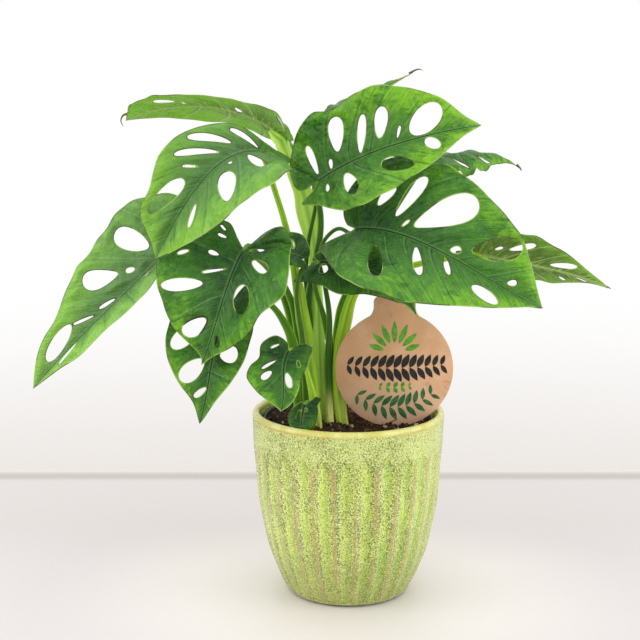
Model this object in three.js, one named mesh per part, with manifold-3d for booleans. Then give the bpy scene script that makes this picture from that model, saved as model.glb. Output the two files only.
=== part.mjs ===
// A Swiss cheese vine (Monstera adansonii) in its nursery pot, inside a ribbed, glazed ceramic pot.
// Millimetres, +Z up. The origin is the centre of the ceramic pot's flat foot, and -Y is the front.
import * as THREE from 'three';
import { mergeVertices } from 'three/addons/utils/BufferGeometryUtils.js';
import Module from 'manifold-3d';

const wasm = await Module();
wasm.setup();

// ---- Driving dimensions ------------------------------------------------------------------------
const POT = {
  rimRadius: 70,
  height: 136.4,
  footRadius: 41,
  floorThickness: 10,
  fluteCount: 28,
  fluteDepth: 1.3,
  fluteTop: 120,        // the flutes fade out below the plain band under the rim
  fluteFade: 12,
  samplesPerFlute: 3,
};
const NURSERY_POT = {
  bottomRadius: 40,
  neckRadius: 57,       // the wall widens here to a stepped collar that ends at the rim
  rimRadius: 62,
  base: 10.4,
  collar: 124,
  rim: 131,
  wall: 1.4,
  segments: 32,
};
const SOIL = { edgeHeight: 126.6, crownHeight: 128, crownRadius: 40 };
const TAG = {
  x: 32.5,
  y: -14,
  radius: 42.4,
  thickness: 2.5,
  neckWidth: 30,
  neckFlare: 6,         // how far the neck's foot widens on each side, to meet the disc
  neckTop: 222,
  cornerRadius: 4,
  stakeWidth: 12,
  stakeBottom: 112,
};
const BLADE_THICKNESS = 1;
const GAP = 0.35;           // clearance between pieces that touch on the real plant
const BLADE_RINGS = [0.42, 0.76, 1];
const BLADE_CENTRE = 0.3;   // where on the midrib the rings start, as a share of its length
const OUTLINE_STEP = 14;    // spacing of a leaf blade's edge points
const HOLE_CORNERS = 8;
const SLIT_WIDTH = 3.5;     // holes narrower than this are only slits in the blade, left uncut here
const STALK_SIDES = 6;
const STALK_ROWS = 1.4;     // rings of a stalk for each stretch of its route
const SHEATH = [0.2, 0.8];  // over this share of the stalk it thins from foot to top
const SOCKET_DEPTH = 20;    // how much of a stalk's foot stands in its hole in the soil

// ---- Leaves ------------------------------------------------------------------------------------
// midrib: four control points of the curve from the stalk to the tip.
// face, tipFace: the direction that the upper side looks in, at the stalk and at the tip.
// fold, curl: degrees that each half rises from the midrib, and bends more for each 50 mm outward.
// left, right: the edge of each half as [along the midrib, out from the midrib], from the notch at
// the stalk, around the lobe, to the tip.
// holes: [side, inner end along, out, outer end along, out, width, taper]; side 1 is left, -1 is right.
// taper, where it isn't 0.25: how much the hole's width grows from its middle to its outer end.
// route: the stalk's way up from the soil to the leaf. radius: at its foot, and under the blade.
const LEAVES = [
  {
    name: 'top_right', face: [-0.25, -0.8, 0.55], tipFace: [0.05, -0.85, 0.5],
    midrib: [[-23, -8, 303], [8, -23, 327], [54, -37, 339], [92, -14, 343]],
    fold: [14, 14], curl: [8, 8],
    left: [[-12, 1], [-17, 6], [-15, 17], [-5, 31], [8, 41], [18, 44], [28, 41], [50, 44], [68, 42],
      [84, 35], [100, 25], [108, 18], [117, 8], [128, 0]],
    right: [[-6, 5], [-18, 7], [-12, 14], [-2, 22], [9, 33], [22, 42], [37, 45], [52, 42], [68, 34],
      [85, 25], [98, 15], [112, 6], [128, 0]],
    holes: [[1, 23, 11, 30, 35, 10], [1, 38, 3, 48, 28, 6], [1, 54, 8, 62, 28, 9],
      [1, 66, 4, 70, 12, 2], [1, 76, 4, 100, 19, 17, 0.1], [1, 14, 2, 16, 9, 3], [1, 3, 4, 5, 26, 5],
      [-1, 85, 2, 91, 13, 9, 0], [-1, 52, 12, 72, 23, 12, -0.2], [-1, 24, 8, 30, 30, 10],
      [-1, 8, 8, 8, 15, 3]],
    route: [[-27, 11, 112], [-28, 11, 145], [-30, 9, 185], [-29, 6, 217], [-24, 3, 245],
      [-20.5, 3, 264], [-20.5, 2, 280]],
    radius: [3.2, 2.2],
  },
  {
    name: 'right', face: [0, -0.75, 0.65], tipFace: [0.35, -0.8, 0.5],
    midrib: [[3, -28, 272], [43, -60, 281], [88, -77, 243], [130, -62, 222]],
    fold: [14, 14], curl: [6, 6],
    left: [[-8, 5], [-12, 16], [-9, 32], [4, 47], [22, 57], [41, 59], [56, 56], [70, 52], [86, 48],
      [100, 43], [113, 37], [126, 27], [137, 16], [150, 0]],
    right: [[-10, 4], [-22, 5], [-32, 6], [-27, 14], [-16, 24], [2, 41], [23, 57], [44, 66], [60, 64],
      [74, 57], [93, 41], [114, 23], [136, 6], [150, 0]],
    holes: [[1, 44, 9, 74, 43, 19, 0.45], [1, 29, 12, 37, 46, 8.5], [1, 36, 6, 39, 12, 2],
      [1, 14, 18, 21, 34, 7], [-1, 27, 17, 46, 49, 9], [-1, 53, 6, 67, 30, 6], [-1, 73, 2, 82, 16, 4],
      [-1, 98, 14, 117, 16, 11, 0], [1, 74, 4, 80, 8, 5], [1, 87, 11, 117, 31, 16],
      [1, 119, 4, 125, 8, 4]],
    route: [[-12, -11, 112], [-14, -9, 145], [-15, -8, 172], [-14, -11, 205], [-17, -9, 228],
      [-21, -7, 245], [-19, -6, 258], [-13, -7, 266.5], [-6.5, -11, 270]],
    radius: [2.5, 1.4],
  },
  {
    name: 'left_front', face: [-0.35, -0.83, 0.43], tipFace: [-0.3, -0.94, 0.1],
    midrib: [[-73, -45, 260], [-86, -61, 239], [-92, -70, 204], [-103, -52, 180]],
    fold: [12, 12], curl: [6, 6],
    left: [[-9, 4], [-21, 6], [-32, 8], [-34, 17], [-23, 26], [-12, 34], [2, 42], [16, 48], [26, 48],
      [35, 40], [42, 33], [53, 29], [66, 17], [78, 6], [91, 0]],
    right: [[-6, 8], [-13, 20], [-8, 32], [4, 43], [16, 50], [28, 52], [40, 47], [51, 41], [63, 33],
      [72, 24], [78, 13], [84, 3], [91, 0]],
    holes: [[-1, 32, 17, 42, 43, 9, 0.2], [-1, 54, 7, 72, 19, 12, 0.2], [1, 26, 11, 44, 18, 12.5, 0],
      [1, 8, 12, 14, 28, 7], [-1, 18, 6, 25, 20, 2], [-1, 10, 14, 10, 22, 3], [-1, 14, 35, 18, 42, 2.5],
      [-1, -3, 15, -3, 22, 2], [-1, -7, 18, -9, 24, 1.5], [1, 0, 5, -2, 17, 2.5], [1, 63, 3, 70, 7, 4]],
    route: [[-34, 5, 112], [-34, 4, 140], [-35, 2, 180], [-40, -2, 212], [-50, -12, 236],
      [-61, -24, 250]],
    radius: [2.8, 2],
  },
  {
    name: 'upper_left', face: [-0.05, -0.62, 0.78], tipFace: [-0.4, -0.85, 0.35],
    midrib: [[-61, -20, 325], [-94, -49, 334], [-119, -58, 281], [-134, -47, 253]],
    fold: [14, 30], curl: [8, 14],
    left: [[-10, 1], [-20, 1], [-24, 5], [-19, 15], [-8, 29], [2, 40], [14, 49], [24, 54], [36, 54],
      [50, 50], [63, 45], [81, 34], [98, 18], [118, 0]],
    right: [[-9, 1.7], [-20, 2.1], [-28, 3], [-29.5, 6], [-23, 6.5], [-14, 6], [-6, 8], [0, 11],
      [8, 17], [17, 23], [28, 27], [42, 32], [57, 34], [66, 31], [78, 26], [91, 24], [99, 19], [108, 9],
      [118, 0]],
    holes: [[-1, 21, 9, 41, 28, 5], [-1, 32, 7, 53, 26, 4], [-1, 49, 9, 55, 17, 1.5],
      [-1, 2, 3, 18, 19, 4], [1, 40, 11, 57, 35, 13, -0.25], [1, 15, 5, 20, 31, 9],
      [1, 30, 5, 33, 6, 3], [-1, 61, 10, 91, 18, 10.5, -0.2], [1, 70, 9, 85, 15, 4]],
    route: [[-24, -9, 112], [-26, -7, 145], [-30, -8, 187], [-33, -9, 204], [-37, -7, 231],
      [-45, -3, 270], [-54, -2, 300]],
    radius: [5, 2],
  },
  {
    name: 'far_left', face: [-0.42, -0.58, 0.7], tipFace: [-0.5, -0.8, 0.3],
    midrib: [[-126, -19, 258], [-160, -38, 224], [-194, -45, 195], [-223, -40, 160]],
    fold: [20, 28], curl: [10, 8],
    left: [[-6, 3], [-10, 8], [-7, 13], [6, 17], [20, 22], [38, 27], [56, 26], [74, 20], [96, 18],
      [114, 9], [140, 0]],
    right: [[-10, 4], [-24, 8], [-34, 18], [-32, 30], [-20, 40], [-2, 46], [22, 45], [46, 38], [58, 37],
      [74, 31], [94, 21], [108, 18], [122, 12], [140, 0]],
    holes: [[-1, 10, 12, 19, 38, 16], [-1, 39, 14, 62, 26, 13, 0.45], [-1, 28, 8, 34, 11, 4],
      [1, 20, 2, 31, 3, 2.5], [-1, 53, 2, 66, 5, 2.5], [-1, 88, 11, 118, 5, 10, 0.1],
      [-1, 72, 4, 87, 10, 2], [1, 94, 2, 113, 4, 3]],
    route: [[-36, 14, 112], [-36, 15, 150], [-38, 16, 183], [-47, 16, 217], [-62, 14, 242],
      [-86, 6, 256], [-108, -3, 260]],
    radius: [3, 2.2],
  },
  {
    name: 'low_left', face: [-0.1, -0.9, 0.4], tipFace: [-0.1, -0.99, 0.05],
    midrib: [[-89, -30, 209], [-97, -43, 188], [-97, -56, 163], [-105, -50, 137]],
    fold: [12, 12], curl: [6, 6],
    left: [[-14, 1], [-28, 1.5], [-36, 4], [-37, 12], [-22, 18], [-8, 21], [4, 25], [18, 25], [31, 23],
      [44, 17], [60, 7], [78, 0]],
    right: [[-14, 1], [-26, 1.5], [-31, 5], [-25, 12], [-15, 17], [-7, 24], [2, 32], [14, 35], [26, 34],
      [38, 29], [50, 21], [63, 8], [78, 0]],
    holes: [[-1, 4, 11, 28, 29, 12, 0.2], [-1, 32, 6, 49, 19, 12, 0.2], [1, 27, 5, 25, 18, 12],
      [-1, 51, 1, 59, 8, 4]],
    route: [[-37, -12, 112], [-36, -12, 140], [-40, -12, 185], [-47, -13, 204], [-57, -16, 217],
      [-70, -17, 220]],
    radius: [3, 2],
  },
  {
    name: 'front_small', face: [-0.05, -0.8, 0.6], tipFace: [-0.05, -0.95, 0.3],
    midrib: [[-42, -50, 190], [-49, -63, 182], [-43, -74, 169], [-47, -76, 154]],
    fold: [10, 10], curl: [8, 8],
    left: [[-8, 2], [-15, 4], [-16, 10], [-6, 15], [5, 17], [15, 17], [24, 13], [34, 10], [41, 6],
      [47, 0]],
    right: [[-5, 5], [-4, 14], [4, 19], [11, 18], [17, 23], [24, 25], [32, 20], [40, 12], [47, 0]],
    holes: [[-1, -1, 8, 4, 12, 2], [-1, 11, 6, 18, 15, 3], [-1, 19, 8, 25, 15, 4.5],
      [1, 20, 2, 31, 5, 4.5], [1, 9, 9, 16, 11, 2]],
    route: [[-22, -24, 112], [-24, -23, 140], [-30, -28, 170], [-36, -34, 185]],
    radius: [2.2, 1.4],
  },
  {
    name: 'far_right', face: [0.1, 0.6, 0.8], tipFace: [0.1, 0.65, 0.75],
    midrib: [[90, 5, 252], [122, 0, 244], [155, -7, 242], [186, -6, 227]],
    fold: [8, 8], curl: [4, 4],
    left: [[-8, 4], [-12, 11], [-2, 20], [14, 27], [34, 30], [54, 28], [70, 17], [86, 5], [101, 0]],
    right: [[-8, 4], [-12, 12], [-4, 20], [12, 27], [30, 30], [46, 28], [62, 21], [80, 9], [101, 0]],
    holes: [[-1, 25, 11, 42, 21, 6], [-1, 55, 4, 73, 9, 6], [-1, 15, 8, 20, 13, 3],
      [1, 64, 9, 70, 13, 3], [1, 75, 3, 85, 4, 2], [1, 36, 12, 46, 22, 5]],
    route: [[-2, -7, 112], [-6, -8, 140], [-7, -6, 172], [-3, -2, 199], [5, 6, 222], [24, 15, 233],
      [48, 16, 240]],
    radius: [4.2, 2.2],
  },
  {
    name: 'top_left', face: [-0.2, 0.36, 0.9], tipFace: [-0.35, 0.34, 0.87],
    midrib: [[-46, 19, 333], [-75, 31, 358], [-125, 34, 362], [-160, 15, 345]],
    fold: [0, 0], curl: [3, 3],
    left: [[-5, 3], [-9, 10], [-14, 24], [-18, 38], [-11, 49], [3, 44], [20, 33], [36, 26], [56, 20],
      [76, 21], [94, 24], [104, 27], [110, 25], [117, 27], [126, 25], [128, 15], [124, 0]],
    right: [[-6, 3], [-12, 10], [-8, 22], [4, 31], [20, 36], [40, 36], [60, 34], [80, 27], [100, 16],
      [124, 0]],
    holes: [[1, 86, 9, 103, 17, 5], [1, 37, 0.5, 41, 8, 5, -0.3], [1, -4, 27, 2, 38, 7],
      [1, 78, 3, 81, 7, 1.5]],
    route: [[-18, 2, 112], [-20, 3, 145], [-21, 5, 173], [-22, 9, 204], [-24, 12, 231], [-26, 14, 260],
      [-30, 16, 278], [-34, 17, 295]],
    radius: [4.4, 3.6],
  },
  {
    name: 'mid_right', face: [0.15, -0.85, 0.5], tipFace: [0.45, -0.8, 0.4],
    midrib: [[-22, -17, 247], [8, -28, 251], [38, -31, 236], [49, -27, 207]],
    fold: [12, 12], curl: [6, 6],
    left: [[-3, 3], [-3, 6], [4, 9], [16, 13], [32, 18], [48, 17], [62, 11], [74, 4], [88, 0]],
    right: [[-7, 1.7], [-12, 6], [-20, 11.6], [-13, 14], [-4, 17], [6, 20.5], [15, 24.5], [24, 27],
      [32, 26], [41, 22], [54, 16], [66, 10], [74, 4.5], [80, 2], [88, 0]],
    holes: [[-1, 4, 1.5, 5.7, 9.6, 6.5], [1, 24, 6, 34, 15, 5]],
    route: [[-11, 5, 112], [-12, 4, 145], [-13, 1, 180], [-18, -1, 205], [-24, -5, 226]],
    radius: [2.4, 1.7],
  },
  {
    name: 'back_right', face: [0.05, 0.25, 0.97], tipFace: [0.2, 0.3, 0.93],
    midrib: [[56, 26, 317], [80, 32, 323], [112, 40, 325], [126, 32, 309]],
    fold: [4, -45], curl: [4, -4],
    left: [[-8, 4], [-10, 12], [0, 20], [14, 24], [30, 24], [46, 19], [60, 10], [74, 0]],
    right: [[-8, 4], [-10, 12], [0, 20], [14, 26], [30, 27], [46, 21], [60, 10], [74, 0]],
    holes: [[-1, 18, 8, 28, 20, 2], [-1, 38, 6, 48, 16, 2], [1, 24, 8, 34, 18, 3]],
    route: [[-4, 9, 112], [-6, 9, 143], [-7, 10, 171], [-6, 13, 197], [-1, 18, 217], [20, 23, 257]],
    radius: [3.6, 2],
  },
  {
    name: 'back_top', face: [-0.4, 0.12, 0.9], tipFace: [-0.35, 0.12, 0.92],
    midrib: [[-16, 27, 352], [4, 31, 364], [26, 32, 368], [46, 28, 379]],
    fold: [-10, -10], curl: [-4, -4],
    left: [[-4, 3], [-5, 9], [4, 15], [16, 19], [30, 19], [44, 13], [56, 6], [70, 0]],
    right: [[-4, 3], [-5, 9], [4, 17], [16, 22], [30, 22], [44, 15], [56, 6], [70, 0]],
    holes: [[-1, 20, 7, 30, 17, 4], [1, 22, 6, 30, 14, 3]],
    route: [[-18, 22, 112], [-21, 21, 150], [-24, 19, 182], [-27.5, 14.5, 206], [-30.5, 7.5, 230],
      [-30.5, 4.5, 247], [-28.5, 4, 262], [-24.5, 4.5, 281], [-21.5, 11, 300], [-18.5, 19, 324],
      [-19.5, 24, 338]],
    radius: [2.2, 1.3],
  },
  {
    name: 'centre_small', face: [-0.1, -0.6, 0.78], tipFace: [-0.1, -0.7, 0.7],
    midrib: [[-33, -29, 251], [-41, -33, 257], [-50, -33, 257], [-57, -31, 251]],
    fold: [10, 10], curl: [6, 6],
    left: [[-4, 3], [-5, 7], [2, 11], [10, 12], [18, 9], [28, 0]],
    right: [[-4, 3], [-5, 9], [1, 17], [9, 19], [17, 14], [23, 7], [28, 0]],
    holes: [[-1, 8, 5, 11, 12, 4]],
    route: [[-30, -17, 112], [-31, -17, 150], [-33, -20, 190], [-37, -28, 222], [-35, -32, 240]],
    radius: [2, 1.5],
  },
  {
    name: 'soil_baby', face: [-0.1, -0.8, 0.5], tipFace: [-0.1, -0.95, 0.2],
    midrib: [[-32, -38, 149], [-34, -44, 145], [-34, -52, 140], [-35, -54, 132]],
    fold: [10, 10], curl: [6, 6],
    left: [[-5, 3], [-13, 6], [-9, 9], [2, 10], [10, 11], [19, 9], [24, 0]],
    right: [[-1, 3], [3, 6], [8, 9], [14, 10], [20, 7], [24, 0]],
    holes: [[-1, 6, 1.5, 14, 5, 2], [1, 4, 1.5, 7, 2.5, 1.5], [1, 14, 2.5, 17, 3.5, 1]],
    route: [[-28, -27, 112], [-28, -28, 132], [-29, -30, 142]],
    radius: [1.6, 1.1],
  },
];

// ---- Materials ---------------------------------------------------------------------------------
function material(color, roughness) {
  return new THREE.MeshStandardMaterial({ color, roughness, metalness: 0 });
}
const leafGreen = () => material(0x4c8a2c, 0.42);
const stalkGreen = () => material(0x8fb04a, 0.45);
const glaze = () => material(0xb7bd6c, 0.28);
const blackPlastic = () => material(0x1c1d1c, 0.5);
const soilBrown = () => material(0x2e2017, 0.95);
const cork = () => material(0xd9a983, 0.75);

// ---- Mesh helpers ------------------------------------------------------------------------------
const vector = (xyz) => new THREE.Vector3(...xyz);

function closedGeometry(points, faces) {
  const geometry = new THREE.BufferGeometry().setFromPoints(points);
  geometry.setIndex(faces.flat());
  geometry.computeVertexNormals();
  return geometry;
}

function toManifold(geometry) {
  const bare = geometry.clone();
  bare.deleteAttribute('normal');
  bare.deleteAttribute('uv');
  const merged = mergeVertices(bare, 1e-4);
  return new wasm.Manifold(new wasm.Mesh({
    numProp: 3,
    vertProperties: new Float32Array(merged.attributes.position.array),
    triVerts: new Uint32Array(merged.index.array),
  }));
}

function fromManifold(solid) {
  const { vertProperties, triVerts } = solid.getMesh();
  const geometry = new THREE.BufferGeometry();
  geometry.setAttribute('position', new THREE.BufferAttribute(vertProperties, 3));
  geometry.setIndex(Array.from(triVerts));
  geometry.computeVertexNormals();
  return geometry;
}

function cut(geometry, cutters) {
  return fromManifold(cutters.reduce((rest, tool) => rest.subtract(toManifold(tool)), toManifold(geometry)));
}

function namedMesh(name, geometry, meshMaterial) {
  const mesh = new THREE.Mesh(geometry, meshMaterial);
  mesh.name = name;
  return mesh;
}

// ---- Leaf blades -------------------------------------------------------------------------------
// The blade is laid out flat (along, out), then bent over its midrib curve. place() gives the point
// in space of a flat point, at a height above the blade's middle surface.
function bentBlade(leaf) {
  const curve = new THREE.CubicBezierCurve3(...leaf.midrib.map(vector));
  const start = -0.4;
  const steps = 140;
  const times = Array.from({ length: steps + 1 }, (_, i) => start + (i / steps) * (1 - start));
  const points = times.map((t) => curve.getPoint(t));
  const arcs = [0];
  for (let i = 1; i <= steps; i += 1) arcs.push(arcs[i - 1] + points[i].distanceTo(points[i - 1]));
  const zero = arcs[Math.round((steps * -start) / (1 - start))];
  const faces = [vector(leaf.face).normalize(), vector(leaf.tipFace).normalize()];

  function timeAt(along) {
    const wanted = along + zero;
    let i = 1;
    while (i < steps && arcs[i] < wanted) i += 1;
    const share = THREE.MathUtils.clamp((wanted - arcs[i - 1]) / (arcs[i] - arcs[i - 1]), 0, 1);
    return THREE.MathUtils.lerp(times[i - 1], times[i], share);
  }

  function surface(along, out) {
    const t = timeAt(along);
    const step = 1e-3;
    const tangent = curve.getPoint(t + step).sub(curve.getPoint(t - step)).normalize();
    const facing = faces[0].clone().lerp(faces[1], THREE.MathUtils.clamp(t, 0, 1)).normalize();
    const sideways = facing.cross(tangent).normalize();
    const upward = tangent.clone().cross(sideways);
    const half = out > 0 ? 0 : 1;
    const fold = THREE.MathUtils.degToRad(leaf.fold[half]);
    const curl = THREE.MathUtils.degToRad(leaf.curl[half] || 0.001) / 50;
    const turned = fold + curl * Math.abs(out);
    const across = (Math.sin(turned) - Math.sin(fold)) / curl;
    const rise = (Math.cos(fold) - Math.cos(turned)) / curl;
    return curve.getPoint(t)
      .addScaledVector(sideways, Math.sign(out) * across)
      .addScaledVector(upward, rise);
  }

  return function place(along, out, height) {
    const near = out < 0 ? -1 : 1;
    const alongEdge = surface(along + 1, out).sub(surface(along, out));
    const outEdge = surface(along, out + near).sub(surface(along, out)).multiplyScalar(near);
    const normal = alongEdge.cross(outEdge).normalize();
    return surface(along, out).addScaledVector(normal, height);
  };
}

function sideOutline(edge, sign) {
  const points = [[0, 0.3], ...edge].map(([along, out]) => new THREE.Vector2(along, sign * out));
  const spline = new THREE.SplineCurve(points);
  return spline.getSpacedPoints(Math.round(spline.getLength() / OUTLINE_STEP));
}

function bladeOutline(leaf) {
  const right = sideOutline(leaf.right, -1);
  const left = sideOutline(leaf.left, 1).reverse();
  return [...right, ...left.slice(1)];
}

// A closed plate: rings from a centre on the midrib out to the outline, on the upper and lower side.
function bladePlate(leaf, place) {
  const outline = bladeOutline(leaf);
  const centre = new THREE.Vector2(BLADE_CENTRE * outline[Math.floor(outline.length / 2)].length(), 0);
  const count = outline.length;
  const flat = [centre];
  BLADE_RINGS.forEach((share) => {
    outline.forEach((point) => flat.push(centre.clone().lerp(point, share)));
  });
  const layer = flat.length;
  const half = BLADE_THICKNESS / 2;
  const points = [half, -half].flatMap((height) => flat.map((p) => place(p.x, p.y, height)));
  const faces = [];
  const addFace = (a, b, c) => {
    faces.push([a, b, c]);
    faces.push([a + layer, c + layer, b + layer]);
  };
  for (let i = 0; i < count; i += 1) {
    const j = (i + 1) % count;
    addFace(0, 1 + i, 1 + j);
    for (let ring = 1; ring < BLADE_RINGS.length; ring += 1) {
      const inner = 1 + (ring - 1) * count;
      const outer = 1 + ring * count;
      addFace(inner + i, outer + i, outer + j);
      addFace(inner + i, outer + j, inner + j);
    }
    const edge = 1 + (BLADE_RINGS.length - 1) * count;
    faces.push([edge + i, edge + i + layer, edge + j + layer], [edge + i, edge + j + layer, edge + j]);
  }
  return closedGeometry(points, faces);
}

// The hole is an egg between its inner and outer ends, widest on the half that it tapers towards.
function holeCutter([side, alongIn, outIn, alongOut, outOut, width, taper = 0.25], place) {
  const inner = new THREE.Vector2(alongIn, outIn);
  const outer = new THREE.Vector2(alongOut, outOut);
  const middle = inner.clone().lerp(outer, 0.5);
  const axis = outer.clone().sub(inner).multiplyScalar(0.5);
  const crossways = new THREE.Vector2(-axis.y, axis.x).normalize().multiplyScalar(width / 2);
  const corners = HOLE_CORNERS;
  const reach = 4;
  const rim = Array.from({ length: corners }, (_, i) => {
    const angle = (2 * Math.PI * i) / corners;
    const bulge = Math.sin(angle) * (1 + taper * Math.cos(angle));
    return middle.clone().addScaledVector(axis, Math.cos(angle)).addScaledVector(crossways, bulge);
  });
  const points = [reach, -reach].flatMap((height) => rim.map((p) => place(p.x, side * p.y, height)));
  const faces = [];
  for (let i = 0; i < corners; i += 1) {
    const j = (i + 1) % corners;
    if (i > 0 && i < corners - 1) faces.push([0, i, i + 1], [corners, corners + i + 1, corners + i]);
    faces.push([i, i + corners, j + corners], [i, j + corners, j]);
  }
  const turned = side < 0 ? faces.map(([a, b, c]) => [a, c, b]) : faces;
  return closedGeometry(points, turned);
}

function leafBlade(leaf) {
  const place = bentBlade(leaf);
  const cutters = leaf.holes
    .filter((hole) => hole[5] > SLIT_WIDTH)
    .map((hole) => holeCutter(hole, place));
  return cut(bladePlate(leaf, place), cutters);
}

// ---- Leaf stalks -------------------------------------------------------------------------------
function taperedTube(route, radiusAt, rows, sides) {
  const curve = new THREE.CatmullRomCurve3(route, false, 'centripetal');
  const normal = new THREE.Vector3(0, 1, 0);
  const points = [];
  const faces = [];
  for (let row = 0; row <= rows; row += 1) {
    const share = row / rows;
    const centre = curve.getPoint(share);
    const tangent = curve.getTangent(share);
    normal.projectOnPlane(tangent).normalize();
    const binormal = tangent.clone().cross(normal);
    const radius = radiusAt(share);
    for (let i = 0; i < sides; i += 1) {
      const angle = (2 * Math.PI * i) / sides;
      points.push(centre.clone()
        .addScaledVector(normal, radius * Math.cos(angle))
        .addScaledVector(binormal, radius * Math.sin(angle)));
      const next = (i + 1) % sides;
      if (row > 0) {
        const low = (row - 1) * sides;
        const high = row * sides;
        faces.push([low + i, low + next, high + next], [low + i, high + next, high + i]);
      }
      if (i > 0 && i < sides - 1) {
        if (row === 0) faces.push([0, i + 1, i]);
        if (row === rows) faces.push([row * sides, row * sides + i, row * sides + i + 1]);
      }
    }
  }
  return closedGeometry(points, faces);
}

// The stalk ends by running under the midrib's first few millimetres, just clear of the blade.
function stalkRoute(leaf) {
  const [start, next] = leaf.midrib.map(vector);
  const along = next.sub(start).normalize();
  const face = vector(leaf.face);
  const sideways = face.clone().cross(along).normalize();
  const upward = along.clone().cross(sideways);
  const droop = THREE.MathUtils.degToRad(Math.min(0, ...leaf.fold));
  const drop = (leaf.radius[1] + BLADE_THICKNESS / 2 + GAP + 0.1) / Math.cos(droop);
  const under = (distance, extraDrop) => start.clone()
    .addScaledVector(along, distance)
    .addScaledVector(upward, -drop - extraDrop);
  return [...leaf.route.map(vector), under(-6, 2.5), under(-1, 0), under(5, 0)];
}

// The sheath makes the stalk's lower half stouter than the part under the leaf.
function stalkRadius(leaf, share) {
  const [foot, top] = leaf.radius;
  return THREE.MathUtils.lerp(foot, top, THREE.MathUtils.smoothstep(share, ...SHEATH));
}

function leafStalk(leaf) {
  const route = stalkRoute(leaf);
  const rows = Math.round(STALK_ROWS * (route.length - 1));
  return taperedTube(route, (share) => stalkRadius(leaf, share), rows, STALK_SIDES);
}

// The hole that a stalk stands in, up to a little above the soil.
function stalkSocket(leaf) {
  const [foot, next] = leaf.route.map(vector);
  const down = foot.clone().sub(next).normalize();
  const bottom = foot.clone().addScaledVector(down, GAP);
  const top = foot.clone().addScaledVector(down, -SOCKET_DEPTH);
  return taperedTube([bottom, top], () => leaf.radius[0] + 2 * GAP, 1, STALK_SIDES);
}

// ---- Pots and soil -----------------------------------------------------------------------------
// Outer wall from the foot to the rim, then the inner wall down to the floor: [radius, height].
function ceramicProfile() {
  const rim = POT.rimRadius;
  const top = POT.height;
  const outer = [[0, 0], [POT.footRadius, 0], [45, 2], [49.5, 10], [54.5, 22], [59.2, 35], [66, 71],
    [69.1, 108], [rim - 0.4, 121], [rim, top - 3.5], [rim - 1.4, top - 0.4], [rim - 2.6, top]];
  const inner = [[rim - 4.6, top - 1.2], [rim - 5.2, top - 4], [61, 69], [54.2, 35],
    [43.5, POT.floorThickness], [0, POT.floorThickness]];
  return { outer, inner };
}

function ceramicPot() {
  const { outer, inner } = ceramicProfile();
  const profile = [...outer, ...inner].map(([radius, height]) => new THREE.Vector2(radius, height));
  const segments = POT.fluteCount * POT.samplesPerFlute;
  const geometry = new THREE.LatheGeometry(profile, segments);
  const position = geometry.attributes.position;
  for (let i = 0; i < position.count; i += 1) {
    const column = Math.floor(i / profile.length);
    const row = i % profile.length;
    const height = position.getY(i);
    const across = (column % POT.samplesPerFlute) / POT.samplesPerFlute;
    const scallop = 1 - (2 * across - 1) ** 2;
    const fade = 1 - THREE.MathUtils.smoothstep(height, POT.fluteTop - POT.fluteFade, POT.fluteTop);
    const onWall = row > 1 && row < outer.length;
    const radius = Math.hypot(position.getX(i), position.getZ(i));
    if (onWall && radius > 0) {
      const scale = 1 - (POT.fluteDepth * scallop * fade) / radius;
      position.setX(i, position.getX(i) * scale);
      position.setZ(i, position.getZ(i) * scale);
    }
  }
  return upright(geometry);
}

// LatheGeometry turns about Y; the pots stand on Z. Merging closes the seam.
function upright(geometry) {
  geometry.rotateX(Math.PI / 2);
  geometry.deleteAttribute('normal');
  geometry.deleteAttribute('uv');
  const merged = mergeVertices(geometry, 1e-3);
  merged.computeVertexNormals();
  return merged;
}

function turnedSolid(profile, segments) {
  const points = profile.map(([radius, height]) => new THREE.Vector2(radius, height));
  return fromManifold(toManifold(upright(new THREE.LatheGeometry(points, segments))));
}

function nurseryPot() {
  const { bottomRadius, neckRadius, rimRadius, base, collar, rim, wall, segments } = NURSERY_POT;
  const outer = [[0, base], [bottomRadius, base], [neckRadius, collar - 1], [rimRadius, collar],
    [rimRadius, rim]];
  const inner = [[rimRadius - wall, rim], [rimRadius - wall, collar + wall],
    [neckRadius - wall, collar + wall - 1], [bottomRadius - wall, base + wall], [0, base + wall]];
  return turnedSolid([...outer, ...inner], segments);
}

// The soil fills the nursery pot, a gap away from it, and has a hole for each stalk and the tag.
function soil() {
  const { bottomRadius, neckRadius, rimRadius, base, collar, wall, segments } = NURSERY_POT;
  const { edgeHeight, crownHeight, crownRadius } = SOIL;
  const inset = wall + GAP;
  const ball = turnedSolid([[0, base + inset], [bottomRadius - inset, base + inset],
    [neckRadius - inset - GAP, collar + wall - 1], [neckRadius - inset, collar + inset],
    [rimRadius - inset, collar + inset + GAP], [rimRadius - inset, edgeHeight],
    [crownRadius, edgeHeight + 1], [0, crownHeight]], segments);
  return cut(ball, [...LEAVES.map(stalkSocket), tagSolid(GAP)]);
}

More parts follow.
